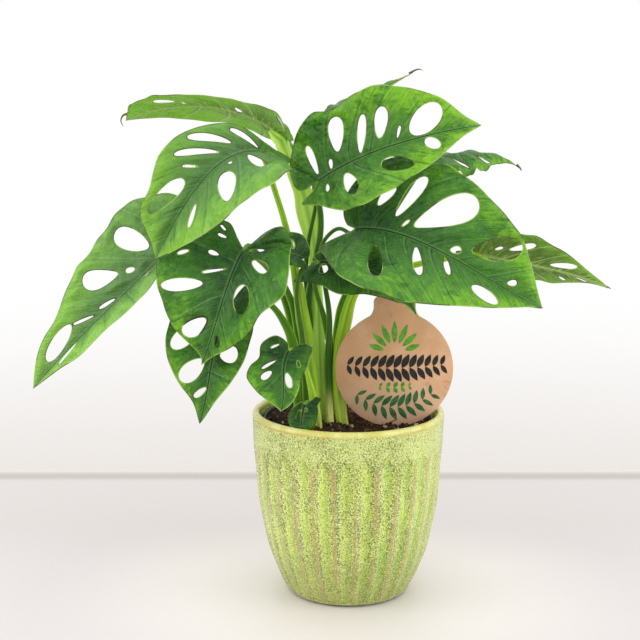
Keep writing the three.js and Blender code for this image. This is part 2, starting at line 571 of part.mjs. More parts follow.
// ---- Plant tag ---------------------------------------------------------------------------------
// A round wooden tag, with a wide neck above and a stake below, cut from one sheet.
function tagShape(margin) {
  const shape = new THREE.Shape();
  const radius = TAG.radius + margin;
  const centre = SOIL.edgeHeight + TAG.radius;
  const top = TAG.neckTop + margin;
  const neck = TAG.neckWidth / 2 + margin;
  const corner = TAG.cornerRadius;
  const neckAngle = Math.acos((neck + TAG.neckFlare) / radius);
  const neckFoot = centre + radius * Math.sin(neckAngle);
  const stake = TAG.stakeWidth / 2 + margin;
  const stakeAngle = Math.acos(stake / radius);
  shape.moveTo(-stake, TAG.stakeBottom - margin);
  shape.lineTo(stake, TAG.stakeBottom - margin);
  shape.lineTo(stake, centre - radius * Math.sin(stakeAngle));
  shape.absarc(0, centre, radius, -stakeAngle, neckAngle, false);
  shape.quadraticCurveTo(neck, neckFoot + TAG.neckFlare / 2, neck, top - corner);
  shape.quadraticCurveTo(neck, top, neck - corner, top);
  shape.lineTo(corner - neck, top);
  shape.quadraticCurveTo(-neck, top, -neck, top - corner);
  shape.quadraticCurveTo(-neck, neckFoot + TAG.neckFlare / 2, -neck - TAG.neckFlare, neckFoot);
  shape.absarc(0, centre, radius, Math.PI - neckAngle, Math.PI + stakeAngle, false);
  return shape;
}

function tagSolid(margin) {
  const depth = TAG.thickness + 2 * margin;
  const geometry = new THREE.ExtrudeGeometry(tagShape(margin), {
    depth,
    bevelEnabled: false,
    curveSegments: 9,
  });
  geometry.rotateX(Math.PI / 2);
  geometry.translate(TAG.x, TAG.y + depth / 2, 0);
  return geometry;
}

// ---- The potted plant --------------------------------------------------------------------------
const pottedPlant = new THREE.Group();
pottedPlant.add(
  namedMesh('pot', ceramicPot(), glaze()),
  namedMesh('nursery_pot', nurseryPot(), blackPlastic()),
  namedMesh('soil', soil(), soilBrown()),
  namedMesh('tag', tagSolid(0), cork()),
);
LEAVES.forEach((leaf) => {
  pottedPlant.add(namedMesh(`leaf_${leaf.name}`, leafBlade(leaf), leafGreen()));
  pottedPlant.add(namedMesh(`stalk_${leaf.name}`, leafStalk(leaf), stalkGreen()));
});

export default pottedPlant;
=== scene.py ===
# %% [markdown]
# # A Swiss cheese vine in its ribbed pot
# A young Monstera adansonii stands in the black nursery pot that it was grown in, and that pot stands
# inside a glazed ceramic one, with a round printed tag stuck in the soil. The solid model of all of it is
# loaded first and never changed: it says where everything is. Each visible thing then gets a finer
# surface in the same place. Lengths are written in millimetres and turned into metres only when a mesh is
# made. In the materials a place is in metres, as Blender gives it, and a number stored on the points is
# in millimetres or a share.

# %% Load the frame
import bpy
import numpy as np
from mathutils import Matrix


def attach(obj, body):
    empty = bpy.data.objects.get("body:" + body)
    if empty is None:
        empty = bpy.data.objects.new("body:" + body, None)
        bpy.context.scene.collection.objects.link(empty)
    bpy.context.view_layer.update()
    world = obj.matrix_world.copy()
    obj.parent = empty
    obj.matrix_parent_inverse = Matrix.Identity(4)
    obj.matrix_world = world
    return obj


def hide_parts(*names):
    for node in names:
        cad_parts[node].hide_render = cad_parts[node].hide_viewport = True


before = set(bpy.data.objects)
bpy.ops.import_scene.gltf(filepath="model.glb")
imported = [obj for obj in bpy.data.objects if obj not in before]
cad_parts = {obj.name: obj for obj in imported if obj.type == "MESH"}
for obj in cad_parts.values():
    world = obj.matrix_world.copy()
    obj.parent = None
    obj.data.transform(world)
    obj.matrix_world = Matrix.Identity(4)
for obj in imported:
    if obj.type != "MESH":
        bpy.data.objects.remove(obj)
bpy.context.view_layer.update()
MM = 0.001
TURN = 2 * np.pi
rng = np.random.default_rng(11)

# %% [markdown]
# ## Helpers for meshes
# Every surface below is worked out as whole numpy arrays: a list of points and a list of faces. One
# helper puts them into a mesh, with any numbers that the finish needs stored on the points as named
# attributes. It also says which solid the piece stands for, so that the solid is hidden.

# %% Mesh helpers
def unit(v):
    """Each vector divided by its length."""
    return v / np.maximum(np.linalg.norm(v, axis=-1, keepdims=True), 1e-12)


def smoothstep(x, low, high):
    """0 below low, 1 above high, and 3t^2 - 2t^3 between, where t runs from 0 to 1."""
    t = np.clip((x - low) / (high - low), 0, 1)
    return t * t * (3 - 2 * t)


def spline(points, per_span=10):
    """A Catmull-Rom curve: a cubic on each span, with end slopes of half the step between neighbours."""
    p = np.asarray(points, float)
    p = np.concatenate([2 * p[:1] - p[1:2], p, 2 * p[-1:] - p[-2:-1]])
    t = np.linspace(0, 1, per_span, endpoint=False)[:, None]
    spans = []
    for a, b, c, d in zip(p, p[1:], p[2:], p[3:]):
        square, cube = 2 * a - 5 * b + 4 * c - d, 3 * b - a - 3 * c + d
        spans.append(0.5 * (2 * b + (c - a) * t + square * t**2 + cube * t**3))
    return np.concatenate(spans + [p[-2:-1]])


def arc_lengths(points):
    """How far along a line of points each point lies."""
    return np.concatenate([[0], np.cumsum(np.linalg.norm(np.diff(points, axis=0), axis=1))])


def grid_faces(rows, columns, wrap=False):
    """Quads between neighbouring rows of a grid of points; wrap joins the last column to the first."""
    last = columns if wrap else columns - 1
    r, c = np.meshgrid(np.arange(rows - 1) * columns, np.arange(last), indexing="ij")
    right = (c + 1) % columns
    return np.stack([r + c, r + right, r + columns + right, r + columns + c], -1).reshape(-1, 4)


def tube_faces(rows, columns):
    """A grid that closes round, and a fan from its first and its last row to two more points."""
    ring, following = np.arange(columns), (np.arange(columns) + 1) % columns
    pole, last = rows * columns, (rows - 1) * columns
    start = np.stack([following, ring, np.full(columns, pole)], 1)
    end = np.stack([last + ring, last + following, np.full(columns, pole + 1)], 1)
    return [*grid_faces(rows, columns, wrap=True), *start, *end]


def add_piece(name, points, faces, material, stands_for=(), slot=None, uv=None, smooth=True, **fields):
    """Makes a mesh object from points in mm, with each field stored on its points. stands_for names the
    solids that it replaces. slot, the name of its material in the solid model, is not used."""
    mesh = bpy.data.meshes.new(name)
    mesh.from_pydata((np.asarray(points) * MM).tolist(), [], [face.tolist() for face in faces])
    if smooth:
        mesh.shade_smooth()
    for field, values in fields.items():
        stored = mesh.attributes.new(field, "FLOAT", "POINT")
        stored.data.foreach_set("value", np.asarray(values, np.float32))
    if uv is not None:
        corners = np.empty(len(mesh.loops), np.int32)
        mesh.loops.foreach_get("vertex_index", corners)
        mesh.uv_layers.new(name="flat").data.foreach_set("uv", np.asarray(uv, np.float32)[corners].ravel())
    mesh.materials.append(material)
    piece = bpy.data.objects.new(name, mesh)
    bpy.context.collection.objects.link(piece)
    if stands_for:
        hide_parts(*stands_for)
    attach(piece, "root")
    print(f"{name}: {len(mesh.vertices)} points, {len(mesh.polygons)} faces")

# %% [markdown]
# ## Helpers for finishes
# A finish is a small graph of shader nodes. Writing it out node by node is long, so these classes add
# one node for each call, and join any value that is itself the output of a node. Most colours here are
# built like paint: a base, and then coats over it, each with its own share of the surface.

# %% Finish helper
def rgb(red, green, blue):
    """A screen colour, 0 to 255, as the linear colour that shaders use: ((c + 0.055) / 1.055) ^ 2.4."""
    c = np.array([red, green, blue]) / 255
    return (*np.where(c > 0.04045, ((c + 0.055) / 1.055) ** 2.4, c / 12.92), 1.0)


class Nodes:
    """A tree of shader nodes in the making."""

    def __init__(self, tree):
        self.tree = tree

    def set(self, socket, value):
        """Joins value to the socket where value is the output of a node, and stores it there elsewhere."""
        if isinstance(value, bpy.types.NodeSocket):
            self.tree.links.new(value, socket)
        else:
            socket.default_value = value

    def node(self, kind, inputs, output=0, **settings):
        """Adds a node, sets or joins its inputs, and returns one of its outputs."""
        made = self.tree.nodes.new("ShaderNode" + kind)
        for key, value in settings.items():
            setattr(made, key, value)
        for key, value in inputs.items():
            self.set(made.inputs[key], value)
        return made.outputs[output]

    def math(self, operation, a, b=0.0):
        """One of Blender's sums, on a and b."""
        return self.node("Math", {0: a, 1: b}, operation=operation)

    def plus(self, a, b):
        return self.math("ADD", a, b)

    def minus(self, a, b):
        return self.math("SUBTRACT", a, b)

    def times(self, a, b):
        return self.math("MULTIPLY", a, b)

    def band(self, value, low, high, start=0.0, end=1.0):
        """start where value is below low, end above high, with a smooth rise between."""
        numbers = {0: value, 1: low, 2: high, 3: start, 4: end}
        return self.node("MapRange", numbers, interpolation_type="SMOOTHSTEP")

    def mix(self, share, a, b):
        """Colour a where share is 0 and b where it is 1, each as (red, green, blue) or a node's output."""
        a, b = (colour if isinstance(colour, bpy.types.NodeSocket) else rgb(*colour) for colour in (a, b))
        return self.node("Mix", {0: share, 6: a, 7: b}, 2, data_type="RGBA")

    def paint(self, colour, coats):
        """Lays coats over a colour in turn, each given by its share of the surface and its colour."""
        for share, coat in coats:
            colour = self.mix(share, colour, coat)
        return colour


class Finish(Nodes):
    """A material in the making. The constants are the shader's own numbers."""

    def __init__(self, name, **constants):
        self.material = bpy.data.materials.new(name)
        self.material.use_nodes = True
        super().__init__(self.material.node_tree)
        self.done(**constants)

    def done(self, **values):
        """Sets or joins the shader's inputs, and returns the material."""
        for socket, value in values.items():
            self.set(self.tree.nodes["Principled BSDF"].inputs[socket.replace("_", " ")], value)
        return self.material

    def field(self, name):
        """A number stored on the piece's points."""
        return self.node("Attribute", {}, 2, attribute_name=name)

    def place(self):
        """The point's place on the object, in metres."""
        return self.node("TexCoord", {}, 3)

    def part(self, vector, axis):
        """One of a vector's three numbers: 0 to the right, 1 to the back, 2 up."""
        return self.node("SeparateXYZ", {0: vector}, axis)

    def flat(self, across, along):
        """The surface's own flat coordinates, scaled in each direction."""
        uv = self.node("UVMap", {}, uv_map="flat")
        return self.node("Mapping", {"Vector": uv, "Scale": (across, along, 1)})

    def noise(self, vector, scale, detail=3.0, roughness=0.55):
        """A cloudy pattern of 0 to 1, with scale lumps for each metre or unit of the vector."""
        inputs = {"Vector": vector, "Scale": scale, "Detail": detail, "Roughness": roughness}
        return self.node("TexNoise", inputs)

    def cells(self, vector, scale, **settings):
        """Distance to the middle of the nearest of many scattered cells, or to their borders."""
        return self.node("TexVoronoi", {"Vector": vector, "Scale": scale}, **settings)

    def around(self, pattern, amount):
        """A pattern of 0 to 1, moved to lie around 0 and scaled."""
        return self.times(self.minus(pattern, 0.5), amount)

    def bump(self, height, distance, below=None):
        """A slope for the light, from a height and its scale in mm, on top of another bump."""
        inputs = {"Height": height, "Distance": distance * MM, "Strength": 1.0}
        if below is not None:
            inputs["Normal"] = below
        return self.node("Bump", inputs)


print("finish helpers:", ", ".join(name for name in vars(Nodes) | vars(Finish) if not name.startswith("_")))

# %% [markdown]
# ## Camera, table and light
# The plant is lit as small things are for a catalogue: a white room gives soft light from everywhere,
# more from the ceiling than from the walls, and a soft box on each side adds a little shape. A world
# shader stands for the room. It is white where the camera looks at it, and dimmer as a lamp, so that
# the wall is white but the leaves keep their shade. A long lens from a metre away keeps the pot's sides
# nearly parallel.

# %% Camera
CAMERA_PLACE = (-0.0207, -1.0, 0.389)
CAMERA_PITCH = np.radians(10.58)
CAMERA_LENS = 79.1
camera = bpy.data.objects.new("camera", bpy.data.cameras.new("camera"))
camera.location = CAMERA_PLACE
camera.rotation_euler = (np.pi / 2 - CAMERA_PITCH, 0, 0)
camera.data.lens = CAMERA_LENS
bpy.context.collection.objects.link(camera)
bpy.context.scene.camera = camera
print("camera at", CAMERA_PLACE, "lens", CAMERA_LENS)

# %% Table
TABLE_SIDE, TABLE_FRONT, TABLE_END = 1300.0, -1600.0, 300.0


def table_finish():
    """Near white, and lighter round the pot as painted light against its shadow; away from the pot it is
    greyer, and painted shade makes it greyer still towards the back. Over the last few centimetres a band
    of painted shade darkens it, as in the gap where the table meets the wall, and then it pales into the
    wall."""
    f = Finish("table_top", Roughness=0.5)
    back = f.part(f.place(), 1)
    away = f.node("VectorMath", {0: f.place()}, 1, operation="LENGTH")
    cloudy = f.mix(f.noise(f.place(), 3.0), (232, 225, 223), (228, 221, 219))
    return f.done(Base_Color=f.paint(cloudy, [
        # painted light round the pot, against its shadow: greyer away from it
        (f.band(away, 0.09, 0.24), (210, 204, 204)),
        # painted shade towards the back
        (f.band(back, 0.03, 0.16), (204, 198, 196)),
        # a band of painted shade where the table meets the wall
        (f.band(back, 0.262, 0.277), (180, 174, 168)),
        (f.band(back, 0.281, 0.299), (212, 206, 201))]))


def table():
    """A thin sheet from well in front of the pot to 0.3 m behind it."""
    corners = [(-TABLE_SIDE, TABLE_FRONT, 0), (TABLE_SIDE, TABLE_FRONT, 0), (TABLE_SIDE, TABLE_END, 0),
               (-TABLE_SIDE, TABLE_END, 0)]
    mesh = bpy.data.meshes.new("table")
    mesh.from_pydata((np.array(corners) * MM).tolist(), [], [(0, 1, 2, 3)])
    mesh.materials.append(table_finish())
    top = bpy.data.objects.new("table", mesh)
    bpy.context.collection.objects.link(top)


table()
print("table", 2 * TABLE_SIDE, "mm wide, to", TABLE_END, "mm behind the pot")

# %% Lights
def softbox(name, place, aim, size, power, colour):
    """A square light at place that faces aim."""
    lamp = bpy.data.lights.new(name, "AREA")
    lamp.size = size
    lamp.energy = power
    lamp.color = colour
    box = bpy.data.objects.new(name, lamp)
    forward = unit(np.array(aim, float) - np.array(place, float))
    right = unit(np.cross(forward, (0, 0, 1)))
    up = np.cross(right, forward)
    turn = np.stack([right, up, -forward, place], 1)
    box.matrix_world = Matrix([*turn.tolist(), (0, 0, 0, 1)])
    bpy.context.collection.objects.link(box)


def white_room(horizon, zenith):
    """A world whose light rises from strength horizon to strength zenith. Where the camera looks at it,
    it is white at strength 1, and painted shade greys it to a warm grey 17 degrees below the horizon, as
    at the foot of a wall."""
    world = bpy.data.worlds.new("white_room")
    world.use_nodes = True
    sky = Nodes(world.node_tree)
    background = sky.tree.nodes["Background"]
    up = sky.node("SeparateXYZ", {0: sky.node("TexCoord", {}, 0)}, 2)
    seen = sky.node("LightPath", {}, 0)
    given = sky.band(up, -0.15, 0.9, horizon, zenith)
    climb = sky.band(up, np.sin(np.radians(-17.5)), np.sin(np.radians(-9)), 0, 1)
    # painted shade at the foot of the wall
    wall = sky.mix(climb, (237, 232, 228), WHITE)
    sky.set(background.inputs["Strength"], sky.node("Mix", {0: seen, 2: given, 3: 1.0}, data_type="FLOAT"))
    sky.set(background.inputs["Color"], sky.mix(seen, WHITE, wall))
    bpy.context.scene.world = world


WHITE = (255, 255, 255)
PLANT_MIDDLE = (0, 0, 0.2)
BOX_SIZE, BOX_POWER = 0.9, 6
white_room(0.6, 1.35)
softbox("left_side", (-1.3, -0.4, 0.7), PLANT_MIDDLE, BOX_SIZE, BOX_POWER, (1.0, 1.0, 0.98))
softbox("right_side", (1.3, -0.5, 0.6), PLANT_MIDDLE, BOX_SIZE, BOX_POWER, (0.97, 0.99, 1.0))
bpy.context.scene.view_settings.view_transform = "Standard"
print("lights:", [light.name for light in bpy.data.lights])

# %% [markdown]
# ## The leaves' measures
# A leaf of this plant is a lopsided heart with a fine point, and oval holes that stand between its side
# veins. It is easiest to draw flat, as distances along the midrib and out from it, and to bend
# afterwards, as one would cut it from paper and then shape the paper. These are the solid model's own
# measures, in millimetres, so that a fine leaf lands on the plain one. Only the baby leaf stands up to
# 4 mm further in, clear of the pot's rim, and one stalk 0.6 mm aside, clear of its neighbour.

# %% Leaf measures
# midrib: four control points from stalk to tip. face, tip_face: where the upper side looks.
# fold, curl: degrees that each half rises, and bends more for each 50 mm outward.
# left, right: the edge of each half as (along, out). wave: height and length of the edge's ripple.
# holes: side (1 left, -1 right), inner end, outer end, width and, where it isn't 0.25, taper: how much the
# width grows from the middle to the outer end.
# tone: 0 dark to 1 bright, partly the leaf's own green and partly painted light and shade, brighter for
# leaves high and outside, darker for those low or deep in the plant. calm: 1 for an evenly coloured
# blade. bloom: how strongly a pale bluish veil of painted sheen lies over the blade. swell: how much
# more than most it swells between its veins. route, radius: the stalk's path, and its radius at foot and top.
LEAVES = {
    "top_right": dict(
        face=(-0.25, -0.8, 0.55), tip_face=(0.05, -0.85, 0.5),
        fold=(14, 14), curl=(8, 8), tone=0.72, calm=0.0, wave=(1.6, 46),
        midrib=[(-23, -8, 303), (8, -23, 327), (54, -37, 339), (92, -14, 343)],
        left=[(-12, 1), (-17, 6), (-15, 17), (-5, 31), (8, 41), (18, 44), (28, 41), (50, 44), (68, 42),
              (84, 35), (100, 25), (108, 18), (117, 8), (128, 0)],
        right=[(-6, 5), (-18, 7), (-12, 14), (-2, 22), (9, 33), (22, 42), (37, 45), (52, 42), (68, 34),
               (85, 25), (98, 15), (112, 6), (128, 0)],
        holes=[(1, 23, 11, 30, 35, 10), (1, 38, 3, 48, 28, 6), (1, 54, 8, 62, 28, 9),
               (1, 66, 4, 70, 12, 2), (1, 76, 4, 100, 19, 17, 0.1), (1, 14, 2, 16, 9, 3),
               (1, 3, 4, 5, 26, 5), (-1, 85, 2, 91, 13, 9, 0), (-1, 52, 12, 72, 23, 12, -0.2),
               (-1, 24, 8, 30, 30, 10), (-1, 8, 8, 8, 15, 3)],
        route=[(-27, 11, 112), (-28, 11, 145), (-30, 9, 185), (-29, 6, 217), (-24, 3, 245),
               (-20.5, 3, 264), (-20.5, 2, 280)],
        radius=(3.2, 2.2)),
    "right": dict(
        face=(0, -0.75, 0.65), tip_face=(0.35, -0.8, 0.5),
        fold=(14, 14), curl=(6, 6), tone=0.47, calm=0.3, wave=(1.8, 52),
        midrib=[(3, -28, 272), (43, -60, 281), (88, -77, 243), (130, -62, 222)],
        left=[(-8, 5), (-12, 16), (-9, 32), (4, 47), (22, 57), (41, 59), (56, 56), (70, 52), (86, 48),
              (100, 43), (113, 37), (126, 27), (137, 16), (150, 0)],
        right=[(-10, 4), (-22, 5), (-32, 6), (-27, 14), (-16, 24), (2, 41), (23, 57), (44, 66),
               (60, 64), (74, 57), (93, 41), (114, 23), (136, 6), (150, 0)],
        holes=[(1, 44, 9, 74, 43, 19, 0.45), (1, 29, 12, 37, 46, 8.5), (1, 36, 6, 39, 12, 2),
               (1, 14, 18, 21, 34, 7), (-1, 27, 17, 46, 49, 9), (-1, 53, 6, 67, 30, 6),
               (-1, 73, 2, 82, 16, 4), (-1, 98, 14, 117, 16, 11, 0), (1, 74, 4, 80, 8, 5),
               (1, 87, 11, 117, 31, 16), (1, 119, 4, 125, 8, 4)],
        route=[(-12, -11, 112), (-14, -9, 145), (-15, -8, 172), (-14, -11, 205), (-17, -9, 228),
               (-21, -7, 245), (-19, -6, 258), (-13, -7, 266.5), (-6.5, -11, 270)],
        radius=(2.5, 1.4)),
    "left_front": dict(
        face=(-0.35, -0.83, 0.43), tip_face=(-0.3, -0.94, 0.1),
        fold=(12, 12), curl=(6, 6), tone=0.36, calm=0.0, wave=(1.8, 40),
        midrib=[(-73, -45, 260), (-86, -61, 239), (-92, -70, 204), (-103, -52, 180)],
        left=[(-9, 4), (-21, 6), (-32, 8), (-34, 17), (-23, 26), (-12, 34), (2, 42), (16, 48), (26, 48),
              (35, 40), (42, 33), (53, 29), (66, 17), (78, 6), (91, 0)],
        right=[(-6, 8), (-13, 20), (-8, 32), (4, 43), (16, 50), (28, 52), (40, 47), (51, 41), (63, 33),
               (72, 24), (78, 13), (84, 3), (91, 0)],
        holes=[(-1, 32, 17, 42, 43, 9, 0.2), (-1, 54, 7, 72, 19, 12, 0.2), (1, 26, 11, 44, 18, 12.5, 0),
               (1, 8, 12, 14, 28, 7), (-1, 18, 6, 25, 20, 2), (-1, 10, 14, 10, 22, 3),
               (-1, 14, 35, 18, 42, 2.5), (-1, -3, 15, -3, 22, 2), (-1, -7, 18, -9, 24, 1.5),
               (1, 0, 5, -2, 17, 2.5), (1, 63, 3, 70, 7, 4)],
        route=[(-34, 5, 112), (-34, 4, 140), (-35, 2, 180), (-40, -2, 212), (-50, -12, 236),
               (-61, -24, 250)],
        radius=(2.8, 2)),
    "upper_left": dict(
        face=(-0.05, -0.62, 0.78), tip_face=(-0.4, -0.85, 0.35), bloom=0.1, swell=1.6,
        fold=(14, 30), curl=(8, 14), tone=0.7, calm=0.7, wave=(1.6, 44),
        midrib=[(-61, -20, 325), (-94, -49, 334), (-119, -58, 281), (-134, -47, 253)],
        left=[(-10, 1), (-20, 1), (-24, 5), (-19, 15), (-8, 29), (2, 40), (14, 49), (24, 54), (36, 54),
              (50, 50), (63, 45), (81, 34), (98, 18), (118, 0)],
        right=[(-9, 1.7), (-20, 2.1), (-28, 3), (-29.5, 6), (-23, 6.5), (-14, 6), (-6, 8), (0, 11),
               (8, 17), (17, 23), (28, 27), (42, 32), (57, 34), (66, 31), (78, 26), (91, 24), (99, 19),
               (108, 9), (118, 0)],
        holes=[(-1, 21, 9, 41, 28, 5), (-1, 32, 7, 53, 26, 4), (-1, 49, 9, 55, 17, 1.5),
               (-1, 2, 3, 18, 19, 4), (1, 40, 11, 57, 35, 13, -0.25), (1, 15, 5, 20, 31, 9),
               (1, 30, 5, 33, 6, 3), (-1, 61, 10, 91, 18, 10.5, -0.2), (1, 70, 9, 85, 15, 4)],
        route=[(-24, -9, 112), (-26, -7, 145), (-30, -8, 187), (-33, -9, 204), (-37, -7, 231),
               (-45, -3, 270), (-54, -2, 300)],
        radius=(5, 2)),
    "far_left": dict(
        face=(-0.42, -0.58, 0.7), tip_face=(-0.5, -0.8, 0.3), bloom=0.16, swell=1.4,
        fold=(20, 28), curl=(10, 8), tone=0.8, calm=0.7, wave=(1.4, 50),
        midrib=[(-126, -19, 258), (-160, -38, 224), (-194, -45, 195), (-223, -40, 160)],
        left=[(-6, 3), (-10, 8), (-7, 13), (6, 17), (20, 22), (38, 27), (56, 26), (74, 20), (96, 18),
              (114, 9), (140, 0)],
        right=[(-10, 4), (-24, 8), (-34, 18), (-32, 30), (-20, 40), (-2, 46), (22, 45), (46, 38),
               (58, 37), (74, 31), (94, 21), (108, 18), (122, 12), (140, 0)],
        holes=[(-1, 10, 12, 19, 38, 16), (-1, 39, 14, 62, 26, 13, 0.45), (-1, 28, 8, 34, 11, 4),
               (1, 20, 2, 31, 3, 2.5), (-1, 53, 2, 66, 5, 2.5), (-1, 88, 11, 118, 5, 10, 0.1),
               (-1, 72, 4, 87, 10, 2), (1, 94, 2, 113, 4, 3)],
        route=[(-36, 14, 112), (-36, 15, 150), (-38, 16, 183), (-47, 16, 217), (-62, 14, 242),
               (-86, 6, 256), (-108, -3, 260)],
        radius=(3, 2.2)),
    "low_left": dict(
        face=(-0.1, -0.9, 0.4), tip_face=(-0.1, -0.99, 0.05),
        fold=(12, 12), curl=(6, 6), tone=0.36, calm=0.2, wave=(1.3, 36),
        midrib=[(-89, -30, 209), (-97, -43, 188), (-97, -56, 163), (-105, -50, 137)],
        left=[(-14, 1), (-28, 1.5), (-36, 4), (-37, 12), (-22, 18), (-8, 21), (4, 25), (18, 25),
              (31, 23), (44, 17), (60, 7), (78, 0)],
        right=[(-14, 1), (-26, 1.5), (-31, 5), (-25, 12), (-15, 17), (-7, 24), (2, 32), (14, 35),
               (26, 34), (38, 29), (50, 21), (63, 8), (78, 0)],
        holes=[(-1, 4, 11, 28, 29, 12, 0.2), (-1, 32, 6, 49, 19, 12, 0.2), (1, 27, 5, 25, 18, 12),
               (-1, 51, 1, 59, 8, 4)],
        route=[(-37, -12, 112), (-36, -12, 140), (-40, -12, 185), (-47, -13, 204), (-57, -16, 217),
               (-70, -17, 220)],
        radius=(3, 2)),
    "front_small": dict(
        face=(-0.05, -0.8, 0.6), tip_face=(-0.05, -0.95, 0.3),
        fold=(10, 10), curl=(8, 8), tone=0.35, calm=0.1, wave=(1.2, 26),
        midrib=[(-42, -50, 190), (-49, -63, 182), (-43, -74, 169), (-47, -76, 154)],
        left=[(-8, 2), (-15, 4), (-16, 10), (-6, 15), (5, 17), (15, 17), (24, 13), (34, 10), (41, 6),
              (47, 0)],
        right=[(-5, 5), (-4, 14), (4, 19), (11, 18), (17, 23), (24, 25), (32, 20), (40, 12), (47, 0)],
        holes=[(-1, -1, 8, 4, 12, 1.4), (-1, 11, 6, 18, 15, 2), (-1, 19, 8, 25, 15, 4.5),
               (1, 20, 2, 31, 5, 4.5), (1, 9, 9, 16, 11, 2)],
        route=[(-22, -24, 112), (-24, -23, 140), (-30, -28, 170), (-36, -34, 185)],
        radius=(2.2, 1.4)),
    "far_right": dict(
        face=(0.1, 0.6, 0.8), tip_face=(0.1, 0.65, 0.75),
        fold=(8, 8), curl=(4, 4), tone=0.15, calm=0.5, wave=(1.2, 40),
        midrib=[(90, 5, 252), (122, 0, 244), (155, -7, 242), (186, -6, 227)],
        left=[(-8, 4), (-12, 11), (-2, 20), (14, 27), (34, 30), (54, 28), (70, 17), (86, 5), (101, 0)],
        right=[(-8, 4), (-12, 12), (-4, 20), (12, 27), (30, 30), (46, 28), (62, 21), (80, 9), (101, 0)],
        holes=[(-1, 25, 11, 42, 21, 6), (-1, 55, 4, 73, 9, 6), (-1, 15, 8, 20, 13, 3),
               (1, 64, 9, 70, 13, 3), (1, 75, 3, 85, 4, 2), (1, 36, 12, 46, 22, 5)],
        route=[(-2, -7, 112), (-6, -8, 140), (-7, -6, 172), (-3, -2, 199), (5, 6, 222), (24, 15, 233),
               (48, 16, 240)],
        radius=(4.2, 2.2)),
    "top_left": dict(
        face=(-0.2, 0.36, 0.9), tip_face=(-0.35, 0.34, 0.87),
        fold=(0, 0), curl=(3, 3), tone=0.85, calm=0.7, wave=(1.5, 48),
        midrib=[(-46, 19, 333), (-75, 31, 358), (-125, 34, 362), (-160, 15, 345)],
        left=[(-5, 3), (-9, 10), (-14, 24), (-18, 38), (-11, 49), (3, 44), (20, 33), (36, 26), (56, 20),
              (76, 21), (94, 24), (104, 27), (110, 25), (117, 27), (126, 25), (128, 15), (124, 0)],
        right=[(-6, 3), (-12, 10), (-8, 22), (4, 31), (20, 36), (40, 36), (60, 34), (80, 27), (100, 16),
               (124, 0)],
        holes=[(1, 86, 9, 103, 17, 5), (1, 37, 0.5, 41, 8, 5, -0.3), (1, -4, 27, 2, 38, 7),
               (1, 78, 3, 81, 7, 1.5)],
        route=[(-18, 2, 112), (-20, 3, 145), (-21, 5, 173), (-22, 9, 204), (-24, 12, 231),
               (-26, 14, 260), (-30, 16, 278), (-34, 17, 295)],
        radius=(4.4, 3.6)),
    "mid_right": dict(
        face=(0.15, -0.85, 0.5), tip_face=(0.45, -0.8, 0.4),
        fold=(12, 12), curl=(6, 6), tone=0.15, calm=0.2, wave=(1.2, 40),
        midrib=[(-22, -17, 247), (8, -28, 251), (38, -31, 236), (49, -27, 207)],
        left=[(-3, 3), (-3, 6), (4, 9), (16, 13), (32, 18), (48, 17), (62, 11), (74, 4), (88, 0)],
        right=[(-7, 1.7), (-12, 6), (-20, 11.6), (-13, 14), (-4, 17), (6, 20.5), (15, 24.5), (24, 27),
               (32, 26), (41, 22), (54, 16), (66, 10), (74, 4.5), (80, 2), (88, 0)],
        holes=[(-1, 4, 1.5, 5.7, 9.6, 6.5), (1, 24, 6, 34, 15, 5)],
        route=[(-11, 5, 112), (-12, 4, 145), (-13, 1, 180), (-18, -1, 205), (-24, -5, 226)],
        radius=(2.4, 1.7)),
    "back_right": dict(
        face=(0.05, 0.25, 0.97), tip_face=(0.2, 0.3, 0.93),
        fold=(4, -45), curl=(4, -4), tone=0.5, calm=0.3, wave=(2.2, 17),
        midrib=[(56, 26, 317), (80, 32, 323), (112, 40, 325), (126, 32, 309)],
        left=[(-8, 4), (-10, 12), (0, 20), (14, 24), (30, 24), (46, 19), (60, 10), (74, 0)],
        right=[(-8, 4), (-10, 12), (0, 20), (14, 26), (30, 27), (46, 21), (60, 10), (74, 0)],
        holes=[(-1, 18, 8, 28, 20, 2), (-1, 38, 6, 48, 16, 2), (1, 24, 8, 34, 18, 3)],
        route=[(-4, 9, 112), (-6, 9, 143), (-7, 10, 171), (-6, 13, 197), (-1, 18, 217), (20, 23, 257)],
        radius=(3.6, 2)),
    "back_top": dict(
        face=(-0.4, 0.12, 0.9), tip_face=(-0.35, 0.12, 0.92),
        fold=(-10, -10), curl=(-4, -4), tone=0.3, calm=0.5, wave=(0.6, 30),
        midrib=[(-16, 27, 352), (4, 31, 364), (26, 32, 368), (46, 28, 379)],
        left=[(-4, 3), (-5, 9), (4, 15), (16, 19), (30, 19), (44, 13), (56, 6), (70, 0)],
        right=[(-4, 3), (-5, 9), (4, 17), (16, 22), (30, 22), (44, 15), (56, 6), (70, 0)],
        holes=[(-1, 20, 7, 30, 17, 4), (1, 22, 6, 30, 14, 3)],
        route=[(-18, 22, 112), (-21, 21, 150), (-24, 19, 182), (-27.5, 14.5, 206), (-31, 7.9, 230),
               (-30.5, 4.5, 247), (-28.5, 4, 262), (-24.5, 4.5, 281), (-21.5, 11, 300),
               (-18.5, 19, 324), (-19.5, 24, 338)],
        radius=(2.2, 1.3)),
    "centre_small": dict(
        face=(-0.1, -0.6, 0.78), tip_face=(-0.1, -0.7, 0.7),
        fold=(10, 10), curl=(6, 6), tone=0.0, calm=0.2, wave=(0.6, 20),
        midrib=[(-33, -29, 251), (-41, -33, 257), (-50, -33, 257), (-57, -31, 251)],
        left=[(-4, 3), (-5, 7), (2, 11), (10, 12), (18, 9), (28, 0)],
        right=[(-4, 3), (-5, 9), (1, 17), (9, 19), (17, 14), (23, 7), (28, 0)],
        holes=[(-1, 8, 5, 11, 12, 4)],
